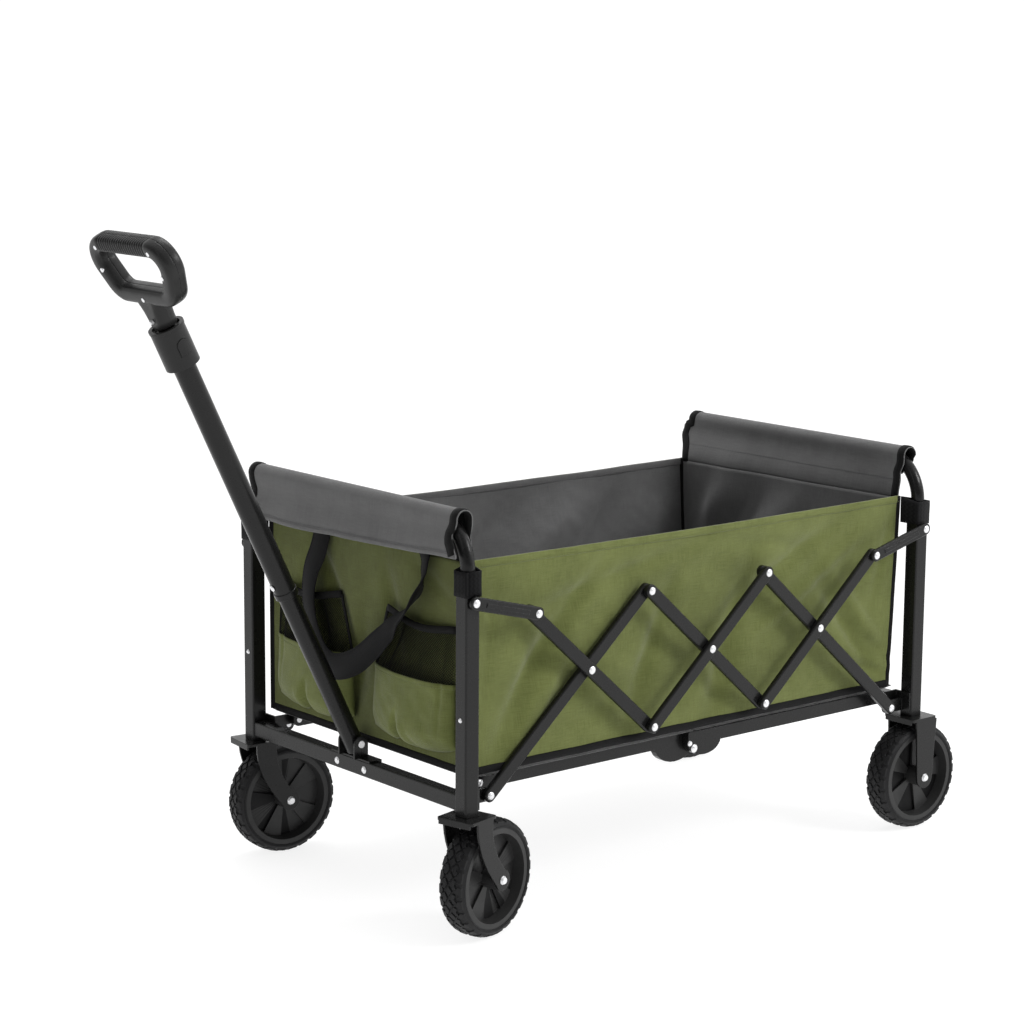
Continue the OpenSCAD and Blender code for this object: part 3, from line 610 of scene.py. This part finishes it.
def side_offset(side, x, z):
    """How far a side wall's cloth stands outward of its plane, in millimetres."""
    u = min(max((x + end_x) / (2 * end_x), 0), 1)
    v = min(max((z - bay_low) / (bay_top - bay_low), 0), 1)
    edge = min(1, 7 * u) * min(1, 9 * (1 - u)) * min(1, 7 * v)
    rim = 0.3 + 0.7 * smooth((1 - v) * 3.6)
    seed = 3 if side < 0 else 8
    slack = sum(h * fold_line(x, z, spot, angle, w, l) for spot, angle, w, l, h in SIDE_FOLDS[side])
    slack += 5.5 * ripple(x + 0.7 * z, z * 0.45, seed, 130) + 2.6 * ripple(x - z, z, seed + 1, 58)
    slack += 0.9 * ripple(x + z, z, seed + 2, 24)
    hang = -8 * math.sin(math.pi * u) * math.sin(math.pi * v)
    offset = (hang + slack) * edge * rim
    return limited(offset, OUTWARD_ROOM)


def edge_bindings(grid, across, name, body, width=9, low_width=12):
    """Black tape over a wall's two upright edges and its lower one."""
    edging = Shape()
    for column in ([row[0] for row in grid], [row[-1] for row in grid]):
        add_sweep(edging, column, across, band(width, BINDING_T, 0.3))
    low_edge = [p + Vector((0, 0, (low_width / 2 - 2 + 0.9 * ripple(p.x / MM, p.y / MM, 5, 45)) * MM))
                for p in grid[0]]
    add_sweep(edging, low_edge, UP, band(low_width, BINDING_T + 1.4, 0.6))
    return edging.build(name, ["binding"], body, "grey_cloth")


# The turned hem at a wall's top: below the edge and outward of the cloth
HEM_PROFILE = ((10.5, 0.7), (9.5, 1.25), (5, 1.35), (1.2, 1.2), (0.1, 0.8), (-0.7, 0.1))


def pack_along_x(pieces):
    """Gives each piece a mesh of its own."""
    for piece in pieces:
        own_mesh(piece)


def make_side_wall(side):
    x_from = -end_x

    def surface(u, v):
        z = bay_low + (bay_top - bay_low) * v
        x = x_from + (rear_x(side, z) - x_from) * (u if side < 0 else 1 - u)
        sag = 2.5 * math.sin(math.pi * u) * v ** 4
        return place(x, side * (side_y + side_offset(side, x, z)), z - sag)

    grid = grid_of(surface, 161, 57)
    shape = Shape()
    add_shell(shape, grid, CLOTH_T, (0, 1, 1))
    name = SIDE_NAMES[side]
    wall = shape.build(f"side_wall_{name}", ["green", "grey"], "front_frame", "green_cloth")
    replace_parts(wall, f"side_panel_{name}")
    outward = Vector((0, side, 0))
    down = Vector((0, 0, -MM))
    trim, seam = Shape(), Shape()
    for face, slot in ((1, 0), (-1, 1)):
        rows = [[p + outward * (face * stand * MM) + down * drop for p in grid[-1]]
                for drop, stand in HEM_PROFILE]
        add_shell(trim, rows if side * face < 0 else rows[::-1], 0.9, (slot, slot, slot))
        line = [p + outward * (face * 1.9 * MM) + down * 8.2 for p in grid[-1]]
        add_stitches(seam, line, outward * face, slot)
    hem = trim.build(f"side_hem_{name}", ["green", "grey"], "front_frame", "green_cloth")
    stitches = seam.build(f"side_hem_stitches_{name}", ["thread_green", "thread_grey"],
                          "front_frame", "green_cloth")
    bound = edge_bindings(grid, Vector((1, 0, 0)), f"side_binding_{name}", "front_frame")
    pack_along_x((wall, hem, stitches, bound))


END_FOLDS = {
    -1: (((-60, 430), 80, 16, 90, -8), ((90, 460), 60, 14, 90, -9), ((-150, 500), 30, 12, 80, -7),
         ((20, 330), 100, 18, 80, -7), ((170, 400), 110, 12, 100, -6)),
    1: (((150, 480), 118, 30, 170, -16), ((95, 440), 122, 24, 150, 7), ((35, 420), 125, 34, 170, -14),
        ((-90, 500), 95, 40, 120, -7), ((190, 400), 100, 22, 150, 5)),
}
END_TOP = bay_top - 3


def end_wall_x(end, y, z):
    """Where an end wall's cloth stands along x, in millimetres."""
    u = min(max((y + side_y) / (2 * side_y), 0), 1)
    v = (z - bay_low) / (bay_top - bay_low)
    base = -end_x if end < 0 else rear_x(y / side_y, z)
    edge = min(1, 6 * u, 6 * (1 - u)) * min(1, 6 * max(v, 0)) * (1 - 0.8 * smooth((v - 0.72) / 0.28))
    seed = 14 if end < 0 else 21
    slack = sum(h * fold_line(y, z, spot, angle, w, l) for spot, angle, w, l, h in END_FOLDS[end])
    slack += 3.5 * ripple(y * 0.8 + z * 0.5, z * 0.6, seed, 110) + 1.6 * ripple(y, z, seed + 1, 50) - 2
    return base + end * limited(slack * edge, END_OUTWARD_ROOM)


def make_end_wall(end):
    name = ENDS[end]
    half = side_y - 2

    def surface(u, v):
        y = (half - 2 * half * u) * (1 if end < 0 else -1)
        z = bay_low + (END_TOP - bay_low) * v
        return place(end_wall_x(end, y, z), y, z)

    grid = grid_of(surface, 97, 57)
    shape = Shape()
    add_shell(shape, grid, CLOTH_T, (0, 1, 1))
    body = f"{name}_frame"
    # the end wall's outer face takes the darker green: painted shade
    wall = shape.build(f"{name}_wall", ["green_painted_shade", "grey"], body, "green_cloth")
    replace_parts(wall, f"{name}_panel")
    bound = edge_bindings(grid, Vector((0, 1, 0)), f"{name}_binding", body)
    if end > 0:    # the rear wall and its binding get meshes of their own
        pack_along_x((wall, bound))


def cover_profile(end):
    """Section of the cover over a top rail, as (outward, z, leg): the front one has a hanging outer flap,
    the rear one is a closed pocket. Both end as the liner's upper part inside the bay."""
    arch = [(RAIL_TANGENT * math.cos(math.radians(a)), rail_z + RAIL_TANGENT * math.sin(math.radians(a)), "arch")
            for a in range(0, 181, 15)]
    if end < 0:
        leg, knots = "flap", ((18.0, 535), (17.2, 545), (15.0, 556), (12.6, 567), (12.0, 577), (12.9, 588))
    else:
        leg, knots = "tuck", ((-12.6, 570), (-5.0, 575), (4.5, 580), (11.0, 587))
    outer = [(out, z, leg) for out, z in knots]
    inner = [(-RAIL_TANGENT, z, "liner") for z in (589, 580, 570, 560, 550, 541, 531)]
    return outer + arch + inner


COVER_ENDS = {-1: (252, 251), 1: (240, 262)}     # how far each cover reaches to the left and right


def cover_point(end, section, y_share):
    """A point of the cover. y_share runs from -1 at the wagon's left to 1 at its right."""
    out, z, leg = section
    reach = COVER_ENDS[end][0 if y_share < 0 else 1]
    side = -1 if y_share < 0 else 1
    y = reach * y_share
    near = smooth((abs(y_share) - 0.72) / 0.28)
    seed = 31 if end < 0 else 37
    low = max(0.0, (rail_z - 6 - z) / 60)
    wave = 3.6 * ripple(y, z * 0.5, seed, 120) + 1.6 * ripple(y, z, seed + 1, 44)
    if leg == "flap":
        out += wave * low + 3.0 * near * low
        inset = 9 * math.exp(-((z - 569) / 15) ** 2) - 9 * max(0.0, (556 - z) / 21)
        y -= side * inset * near
        lift = 15 * ((1 - y_share) / 2) ** 2.2
        z += lift * min(1.0, max(0.0, (590 - z) / 50))
        z += 2.0 * ripple(y, 9, seed + 2, 70) * low
    elif leg == "liner":
        wall = abs(end_wall_x(end, max(-side_y + 2, min(side_y - 2, y)), END_TOP - 3))
        target = post_x - wall + (1.5 if end < 0 else -1.4)
        t = smooth((589 - z) / 56)
        out -= (target + out) * t + 2 * abs(wave) * t * (1 - t)
        pull = max(0.0, reach - (side_y - 1))
        y -= side * pull * t * near
        y -= side * (4 if side < 0 else -5) * near * math.exp(-((z - 572) / 9) ** 2)
    else:
        out += 0.4 * wave * low
        y -= side * near * (3 if leg == "tuck" else 10 if end > 0 and side > 0 else 0)
    return place(end * (post_x + out), y, z)


def make_rail_cover(end):
    name = ENDS[end]
    knots = cover_profile(end)
    rings = []
    for a, b in zip(knots, knots[1:]):
        rings += [a, ((a[0] + b[0]) / 2, (a[1] + b[1]) / 2, a[2])]
    rings.append(knots[-1])
    cols = 121
    grid = []
    for section in rings:
        row = [cover_point(end, section, 1 - 2 * c / (cols - 1)) for c in range(cols)]
        grid.append(row if end < 0 else row[::-1])
    shape = Shape()
    # the cover's inner face takes the black binding cloth: partly a black-coated back, partly painted shade inside
    # the arch
    add_shell(shape, grid, CLOTH_T, (0, 1, 0))
    body = f"{name}_frame"
    sleeve = shape.build(f"{name}_rail_cover", ["grey", "binding"], body, "grey_cloth")
    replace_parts(sleeve, f"{name}_sleeve")
    edging = Shape()
    for c in (2, cols - 3):
        add_sweep(edging, [row[c] for row in grid], Vector((0, 1, 0)), band(15, 4.2, 0.3))
    bound = edging.build(f"{name}_cover_binding", ["binding"], body, "grey_cloth")
    seam = Shape()
    out = Vector((end, 0, 0))
    rows = ((1, 1), (len(grid) - 2, -1)) if end < 0 else ((len(grid) - 7, -1),)
    for index, side in rows:
        add_stitches(seam, [p + out * (side * 1.0 * MM) for p in grid[index]], out * side)
    if end < 0:
        add_sweep(seam, grid[0], UP, band(7, 2.6, 0.1), 1)
    stitches = seam.build(f"{name}_cover_stitches", ["thread_grey", "grey"], body, "grey_cloth")
    length = run_length([row[cols // 2] for row in grid])


def rounded_loop(corners, steps=5, radius=3.0):
    """A closed outline through corners with small rounded bends."""
    out = []
    count = len(corners)
    for k in range(count):
        a, b, c = (Vector(corners[(k + n) % count]) for n in (-1, 0, 1))
        start = b + (a - b).normalized() * radius
        stop = b + (c - b).normalized() * radius
        for i in range(steps + 1):
            t = i / steps
            out.append(start * (1 - t) ** 2 + b * (2 * t * (1 - t)) + stop * t ** 2)
    return out + [out[0]]


def make_post_loops(end):
    """Webbing round each post's top that holds the bay's corner."""
    name = ENDS[end]
    shape = Shape()
    low_z, high_z = post_top_z - 34, post_top_z + 1.5
    for side in SIDES:
        square = post_half + 1.5
        corner_x = post_x - (end_x if end < 0 else rear_x(side, bay_top - 20)) - 3
        corner_y = post_y - side_y - 3
        plan = [(square, square), (square, -square), (-corner_x, -corner_y), (-square, square)]
        loop = rounded_loop([(x, y, 0) for x, y in plan])
        rows = []
        for v in (0, 0.2, 0.4, 0.6, 0.8, 1):
            row = []
            for p in loop:
                inboard = smooth((square - p.x) / (2 * square)) * smooth((square - p.y) / (2 * square))
                z = low_z + (high_z - low_z) * v + 5 * inboard * (v + 0.2)
                wave = 1 + 0.03 * ripple(p.x + p.y, z, 91 + end + side, 16)
                row.append(place(end * (post_x + p.x * wave), side * (post_y + p.y * wave), z))
            rows.append(row if end * side > 0 else row[::-1])
        add_shell(shape, rows, 1.8)
    return shape.build(f"{name}_post_loops", ["webbing"], f"{name}_frame", "webbing")


# ---------- pockets and strap on the front wall ----------

POCKET_Y = (30, 213)
CUP_Z = (250, 356)
NET_TOP_Z = 440
CUP_DEPTH = 25


def cup_point(side, u, v):
    """Outer cup of a pocket: u from the middle of the wall outward, v from its bottom to its rim."""
    y = POCKET_Y[0] + (POCKET_Y[1] - POCKET_Y[0]) * u
    spread = max(0.0, math.sin(math.pi * u))
    plan = spread ** 0.42
    belly = math.sin(min(v / 0.3, 1) * math.pi / 2) ** 0.7 if v > 0 else 0.0
    depth = CUP_DEPTH * plan * belly * (1 - 0.22 * smooth((v - 0.3) / 0.7))
    where = 0.36 + 0.1 * v if side < 0 else 0.55 - 0.1 * v
    gather = max(0.0, 1 - v / 0.5)
    depth -= 13 * math.exp(-((u - where) / 0.035) ** 2) * gather * plan
    depth += 4 * math.exp(-((u - where - 0.09) / 0.05) ** 2) * gather * belly
    depth -= 4 * math.exp(-((u - where - 0.2 + 0.25 * v) / 0.04) ** 2) * gather ** 1.5 * plan
    depth -= 4 * math.exp(-((u - 0.88) / 0.025) ** 2) * plan * v
    seed = 41 if side < 0 else 47
    crumple = 4.2 * ripple(y, v * 90, seed, 50) + 2.2 * ripple(y + v * 60, v * 100, seed + 1, 22)
    depth += crumple * plan * min(1, 5 * v) * (1 - 0.6 * v)
    depth = min(depth, CUP_DEPTH + 1)
    low_edge = CUP_Z[0] + 13 * abs(2 * u - 1) ** 2.6 + 9 * math.exp(-((u - where) / 0.05) ** 2)
    z = low_edge + (CUP_Z[1] - low_edge) * v - 2.5 * v * spread
    return place(-end_x - 1.4 - max(depth, 0.8), side * (y - 5 * (1 - v) * (1 - u)), z)


def make_pocket(side):
    name = SIDE_NAMES[side]
    grid = grid_of(lambda u, v: cup_point(side, u, v), 105, 53, side > 0)
    shape = Shape()
    add_shell(shape, grid, 1.3)
    rim = grid[-1]
    add_sweep(shape, [p - Vector((0, 0, 3 * MM)) for p in rim], UP, band(8, 2.4, 0.1))
    add_stitches(shape, [p + Vector((-1.3 * MM, 0, -5.6 * MM)) for p in rim], Vector((-1, 0, 0)), 1)
    cup = shape.build(f"pocket_cup_{name}", ["green", "thread_green"], "front_frame", "green_cloth")
    outer_y, inner_y = POCKET_Y[1], POCKET_Y[0] + 26

    def rim_point(t):
        """Top binding of the net, from its slanted inner end to the post."""
        y = inner_y + (outer_y - inner_y) * t
        z = NET_TOP_Z - 6 * t - 10 * math.sin(math.pi * t) ** 1.3
        return place(-end_x - 2.4 - 6 * math.sin(math.pi * t), side * y, z)

    def net_point(u, v):
        base = cup_point(side, u, 1.0)
        hollow = 5 * math.sin(math.pi * v) * math.sin(math.pi * u)
        crease = 3.5 * math.exp(-((u - 0.2 - 0.1 * v) / 0.03) ** 2) * math.sin(math.pi * v)
        return base.lerp(rim_point(u), v) + Vector(((hollow + crease) * MM * 0.6, 0, 0))

    net = Shape()
    across, up = 84, 40
    corners = {}

    def knot(i, j):
        if (i, j) not in corners:
            corners[i, j] = net.point(net_point(i / across, j / up))
        return corners[i, j]

    for i in range(across):
        for j in range(1, up):
            if (i + j) % 2:
                net.face((knot(i, j - 1), knot(min(i + 1, across), j), knot(i, j + 1), knot(max(i - 1, 0), j)))
    net_piece = net.build(f"pocket_net_{name}", ["mesh"], "front_frame", "grey_cloth")
    strands = net_piece.modifiers.new("strands", "WIREFRAME")
    strands.thickness = 0.0011
    strands.use_even_offset = False
    trim = Shape()
    top_edge = [rim_point(k / 24) for k in range(25)]
    add_sweep(trim, top_edge, UP, band(11, 3.0, 0.2))
    slant = [net_point(0, k / 12) for k in range(13)]
    add_sweep(trim, slant, Vector((0, 1, 0)), band(6, 2.2, 0.2))
    trim.build(f"pocket_border_{name}", ["binding"], "front_frame", "grey_cloth")
    return cup


STRAP = (  # y, z, x outward of the wall, turn of the ribbon about its run in degrees
    (-146, 548, 5, 0), (-150, 514, 10, 28), (-139, 472, 16, 64), (-113, 441, 19, 52), (-82, 412, 22, 18),
    (-50, 384, 25, 6), (-17, 359, 27, 4), (20, 343, 28, 4), (52, 340, 27, 0), (82, 358, 25, -6),
    (105, 392, 22, -10), (119, 430, 18, -8), (117, 468, 14, -4), (104, 500, 10, 0), (93, 548, 5, 0))
STRAP_W = 39


def make_strap():
    """The carrying strap, a ribbon that hangs in front of the front wall and turns as it goes."""
    knots = [place(-end_x - x, y, z) for y, z, x, turn in STRAP]
    steps = 10
    path = smooth_path(knots, steps)
    across, normals = [], []
    for i, p in enumerate(path):
        k = min(i // steps, len(STRAP) - 2)
        t = smooth(i / steps - k)
        turn = math.radians(STRAP[k][3] * (1 - t) + STRAP[k + 1][3] * t)
        tangent = tangent_at(path, i)
        flat = tangent.cross(Vector((-1, 0, 0))).normalized()
        across.append(Quaternion(tangent, turn) @ flat)
        normals.append(tangent.cross(across[-1]).normalized())
    shape = Shape()
    add_sweep(shape, path, across, band(STRAP_W, 1.7, 0.1))
    for offset in (-STRAP_W / 2 + 2.5, STRAP_W / 2 - 2.5):
        for face in (-1, 1):
            line = [p + a * (offset * MM) + n * (face * 0.95 * MM) for p, a, n in zip(path, across, normals)]
            add_stitches(shape, line, [n * face for n in normals], 1)
    strap = shape.build("carrying_strap", ["webbing", "thread_black"], "front_frame", "webbing")
    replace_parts(strap, "front_webbing")


# ---------- floor of the bay ----------

def make_floor_half(end):
    """Cloth-covered stiffener with a stitched border, and the floor cloth round it."""
    name = ENDS[end]
    body = f"{name}_floor"
    board_half = high("front_floor_board", 1)
    x_in, x_out = 1.0, high("rear_floor_board", 0) - middle_x
    shape = Shape()

    def pad(u, v):
        x = x_in + (x_out - x_in) * u
        y = -board_half + 2 * board_half * v
        crown = (math.sin(math.pi * u) * math.sin(math.pi * v)) ** 0.25
        dip = 0.8 * ripple(x, y, 60 + end, 90)
        return place(end * x, y, floor_top - 3.2 + 3.0 * crown + dip * crown)

    add_shell(shape, grid_of(pad, 57, 57, end < 0), 4.6)
    inset = 11
    x0, x1, y1 = x_in + inset, x_out - inset, board_half - inset
    corners = [(x0, -y1), (x1, -y1), (x1, y1), (x0, y1)]
    for a, b in zip(corners, corners[1:] + corners[:1]):
        line = [place(end * (a[0] + (b[0] - a[0]) * t / 30), a[1] + (b[1] - a[1]) * t / 30, floor_top + 2.4)
                for t in range(31)]
        add_stitches(shape, line, UP, 1)
    mat = shape.build(f"{name}_floor_mat", ["grey", "thread_grey"], body, "grey_cloth")
    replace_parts(mat, f"{name}_floor_board")

    under = Shape()
    reach, cloth_half = post_x - 54, side_y - 4

    def cloth(u, v):
        x = x_in + (reach - x_in) * u
        y = cloth_half * (2 * v - 1)
        return place(end * x, y, floor_top - 6.6 + 0.5 * ripple(x, y, 70, 60))

    add_shell(under, grid_of(cloth, 41, 41, end < 0), 1.0)
    bottom = under.build(f"{name}_floor_cloth", ["grey"], body, "grey_cloth")
    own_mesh(bottom)
    strip = Shape()

    def apron(u, v):
        x = reach + 1 + (end_x - 3 - reach) * u
        y = cloth_half * (2 * v - 1)
        return place(end * x, y, floor_top - 6.6 + 3.5 * u)

    add_shell(strip, grid_of(apron, 5, 41, end < 0), 1.0)
    edge_strip = strip.build(f"{name}_floor_apron", ["grey"], f"{name}_frame", "grey_cloth")
    pack_along_x((edge_strip,))


# ---------- tyres ----------

def joint_frame(name):
    joint = next(j for j in frame["joints"] if j["name"] == name)
    return Vector(joint.get("pos_m", (0, 0, 0))), Vector(joint["axis"]).normalized()


def make_tyre(end, side):
    centre_point, axis = joint_frame(f"{end}_spin_{side}")
    if axis.y < 0:
        axis = -axis
    forward = axis.cross(UP).normalized()

    def at(angle, across, radius):
        return (centre_point + axis * (across * MM)
                + (forward * math.cos(angle) + UP * math.sin(angle)) * (radius * MM))

    tread_depth = 2.2
    base_r = wheel_r - tread_depth

    def crown(across):
        """Radius of the tread's bed, lower at the shoulders."""
        t = abs(across) / tyre_half
        return base_r - 4.2 * t ** 3.2 - (2.5 * max(0, t - 0.86) / 0.14 if t > 0.86 else 0)

    shape = Shape()
    steps = 120
    inner_r = wheel_r - 13
    profile = [(-tyre_half + 0.2, inner_r), (-tyre_half, inner_r + 2), (-tyre_half, wheel_r - 9)]
    profile += [(a, crown(a)) for a in [tyre_half * t / 10 for t in range(-10, 11)]]
    profile += [(tyre_half, wheel_r - 9), (tyre_half, inner_r + 2), (tyre_half - 0.2, inner_r)]
    rings = [[shape.point(at(2 * math.pi * i / steps, a, r)) for a, r in profile] for i in range(steps)]
    for i in range(steps):
        shape.join(rings[i], rings[(i + 1) % steps], turned=True)

    def block(outline, height=tread_depth):
        """A tread block: outline as (length along the tread, across), with drafted sides."""
        cx = sum(p[0] for p in outline) / len(outline)
        cy = sum(p[1] for p in outline) / len(outline)
        layers = []
        for lift, shrink in ((-1.2, 1.0), (height * 0.75, 0.93), (height, 0.84)):
            ring = []
            for s, a in outline:
                s2, a2 = cx + (s - cx) * shrink, cy + (a - cy) * shrink
                ring.append(shape.point(at(s2 / wheel_r, a2, crown(a2) + lift)))
            layers.append(ring)
        for below, above in zip(layers, layers[1:]):
            shape.join(below, above)
        shape.face(layers[-1], 0, [(0, 0)] * len(outline))

    count = 26
    pitch = 2 * math.pi * wheel_r / count
    for i in range(count):
        s = i * pitch
        block([(s - 0.36 * pitch, 0), (s, -6.2), (s + 0.36 * pitch, 0), (s, 6.2)])
        for hand in SIDES:
            h = s + pitch / 2
            block([(h - 0.40 * pitch, 6.6 * hand), (h, 1.8 * hand), (h + 0.40 * pitch, 6.6 * hand),
                   (h + 0.30 * pitch, 12.2 * hand), (h, 9.2 * hand), (h - 0.30 * pitch, 12.2 * hand)][::hand])
            block([(s - 0.42 * pitch, 14.4 * hand), (s, 8.6 * hand), (s + 0.42 * pitch, 14.4 * hand),
                   (s + 0.36 * pitch, 19.4 * hand), (s - 0.36 * pitch, 19.4 * hand)][::hand], tread_depth * 0.9)
    for hand in SIDES:
        ring = []
        for inset, lift in ((11.4, 0.0), (11.0, 0.5), (10.4, 0.5), (10.0, 0.0)):
            across = hand * (tyre_half + lift - 0.05)
            ring.append([shape.point(at(2 * math.pi * i / steps, across, wheel_r - inset)) for i in range(steps)])
        for a, b in zip(ring, ring[1:]):
            shape.join(a, b, turned=hand < 0)
    tyre = shape.build(f"{end}_treaded_tyre_{side}", ["tread"], f"{end}_wheel_{side}", "tread", soft_shading=False)
    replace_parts(tyre, f"{end}_tyre_{side}")


# ---------- grip and handle ----------

pivot, _ = joint_frame("handle_tilt")
_, along = joint_frame("handle_slide")
facing = Vector((along.z, 0, -along.x))      # the handle's +x, towards the wagon's rear


def on_handle(x, y, s):
    return pivot + facing * (x * MM) + Vector((0, y * MM, 0)) + along * (s * MM)


def handle_span(node):
    spans = [(v.co - pivot).dot(along) / MM for v in nodes[node].data.vertices]
    return min(spans), max(spans)


GRIP_BAR = (15, 12)
GRIP_H = 75
GRIP_CORNER = 26
GRIP_TAPER = math.radians(25)
SOCKET_R = 12.3         # bore for the inner tube
RIB_PITCH, RIB_DEPTH, RIBBED_HALF = 5.6, 1.3, 63      # ribs across the grip's top bar


def grip_centre_line(steps):
    """The loop's centre line as (y, s, outward angle), and the s of its top bar."""
    top = handle_span("grip_front_shell")[1] - GRIP_BAR[1]
    half = high("grip_front_shell", 1) - GRIP_BAR[1]
    drop = GRIP_H - 2 * GRIP_CORNER
    upper = (half - GRIP_CORNER, top - GRIP_CORNER)
    lower = (upper[0] - drop * math.tan(GRIP_TAPER), upper[1] - drop)
    arcs = [(lower, -math.pi / 2, -GRIP_TAPER), (upper, -GRIP_TAPER, math.pi / 2),
            ((-upper[0], upper[1]), math.pi / 2, math.pi + GRIP_TAPER),
            ((-lower[0], lower[1]), math.pi + GRIP_TAPER, 1.5 * math.pi)]
    line = []
    for n, (middle, a0, a1) in enumerate(arcs):
        for i in range(steps + 1):
            a = a0 + (a1 - a0) * i / steps
            line.append((middle[0] + GRIP_CORNER * math.cos(a), middle[1] + GRIP_CORNER * math.sin(a), a))
        here, (middle, a, _) = line[-1], arcs[(n + 1) % 4]
        there = (middle[0] + GRIP_CORNER * math.cos(a), middle[1] + GRIP_CORNER * math.sin(a))
        count = 140 if n == 1 else 8      # the ribs of the top bar need many
        for t in [i / count for i in range(1, count)]:
            line.append((here[0] + (there[0] - here[0]) * t, here[1] + (there[1] - here[1]) * t, here[2]))
    return line, top


def make_grip():
    line, top = grip_centre_line(14)
    cad_low = handle_span("grip_front_shell")[0]
    reach = top - GRIP_H
    half_turn = [math.pi * i / 16 - math.pi / 2 for i in range(17)]
    for half, name, node in ((-1, "grip_front_cover", "grip_front_shell"),
                             (1, "grip_back_cover", "grip_back_shell")):
        shape = Shape()
        outline = []
        for i in range(21):
            t = math.radians(-90 + 9 * i)
            c, s = max(math.cos(t), 0), math.sin(t)
            outline.append((GRIP_BAR[0] * c ** 0.62, GRIP_BAR[1] * math.copysign(abs(s) ** 0.62, s)))
        ends = [(0.0, GRIP_BAR[1] - 0.3), (0.4, GRIP_BAR[1] - 0.05), (0.9, GRIP_BAR[1]), (2.5, GRIP_BAR[1])]
        outline = [(x, -r) for x, r in ends] + outline[2:-2] + ends[::-1]
        rings = []
        for y, s, a in line:
            ring = []
            ribbed = abs(a - math.pi / 2) < 1e-6 and abs(y) < RIBBED_HALF
            fade = min(1.0, (RIBBED_HALF - abs(y)) / 5) if ribbed else 0.0
            groove = (0.5 + 0.5 * math.cos(2 * math.pi * y / RIB_PITCH)) ** 2 * fade
            for x, r in outline:
                shrink = 1 - (RIB_DEPTH * groove if r > -6 else 0.0) / 14
                ring.append(shape.point(on_handle(half * (x * shrink + 0.05), y + r * shrink * math.cos(a),
                                                  s + r * shrink * math.sin(a))))
            rings.append(ring)
        for i, ring in enumerate(rings):
            shape.join(ring, rings[(i + 1) % len(rings)], turned=half < 0)
        neck = []
        for s, r in ((cad_low, 16.6), (cad_low + 1.2, 17.8), (cad_low + 14, 18.6), (cad_low + 26, 19.8),
                     (reach - 14, 21.5), (reach - 6, 25.0)):
            neck.append([shape.point(on_handle(half * (0.05 + min(r * math.cos(a), GRIP_BAR[0] - 0.4)),
                                               r * math.sin(a), s)) for a in half_turn])
        bottom = [shape.point(on_handle(half * (0.05 + SOCKET_R * math.cos(a)), SOCKET_R * math.sin(a), cad_low))
                  for a in half_turn]
        for below, above in zip([bottom] + neck, neck):
            shape.join(below, above, closed=False, turned=half < 0)
        cover = shape.build(name, ["grip_plastic"], "grip", "grip_plastic")
        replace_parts(cover, node)


def make_handle_rivet():
    """The domed head of a rivet low on the handle's upper tube."""
    shape = Shape()
    middle = on_handle(-17.0, 0, handle_span("handle_upper_tube")[0] + 22)
    outward = -facing.normalized()
    side = outward.orthogonal().normalized()
    other = outward.cross(side)
    radius, height, count = 4.6, 1.8, 28
    spokes = [side * math.cos(2 * math.pi * i / count) + other * math.sin(2 * math.pi * i / count)
              for i in range(count)]
    rings = []
    for rise in [math.pi / 2 * j / 6 for j in range(6)]:
        top = middle + outward * (height * math.sin(rise) * MM)
        rings.append([shape.point(top + spoke * (radius * math.cos(rise) * MM)) for spoke in spokes])
    for a, b in zip(rings, rings[1:]):
        shape.join(a, b)
    shape.face(rings[-1], 0, [(0, 0)] * count)
    shape.build("upper_tube_rivet", ["zinc"], "handle", "zinc")


pockets = {}
for side in SIDES:
    make_side_wall(side)
    pockets[side] = make_pocket(side)
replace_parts(pockets[-1], "front_pockets")
for end in ENDS:
    make_end_wall(end)
    make_rail_cover(end)
    make_floor_half(end)
make_strap()
make_post_loops(-1)
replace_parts(make_post_loops(1), "rear_webbing")
for end_name in ENDS.values():
    for side_name in SIDE_NAMES.values():
        make_tyre(end_name, side_name)
make_grip()
make_handle_rivet()
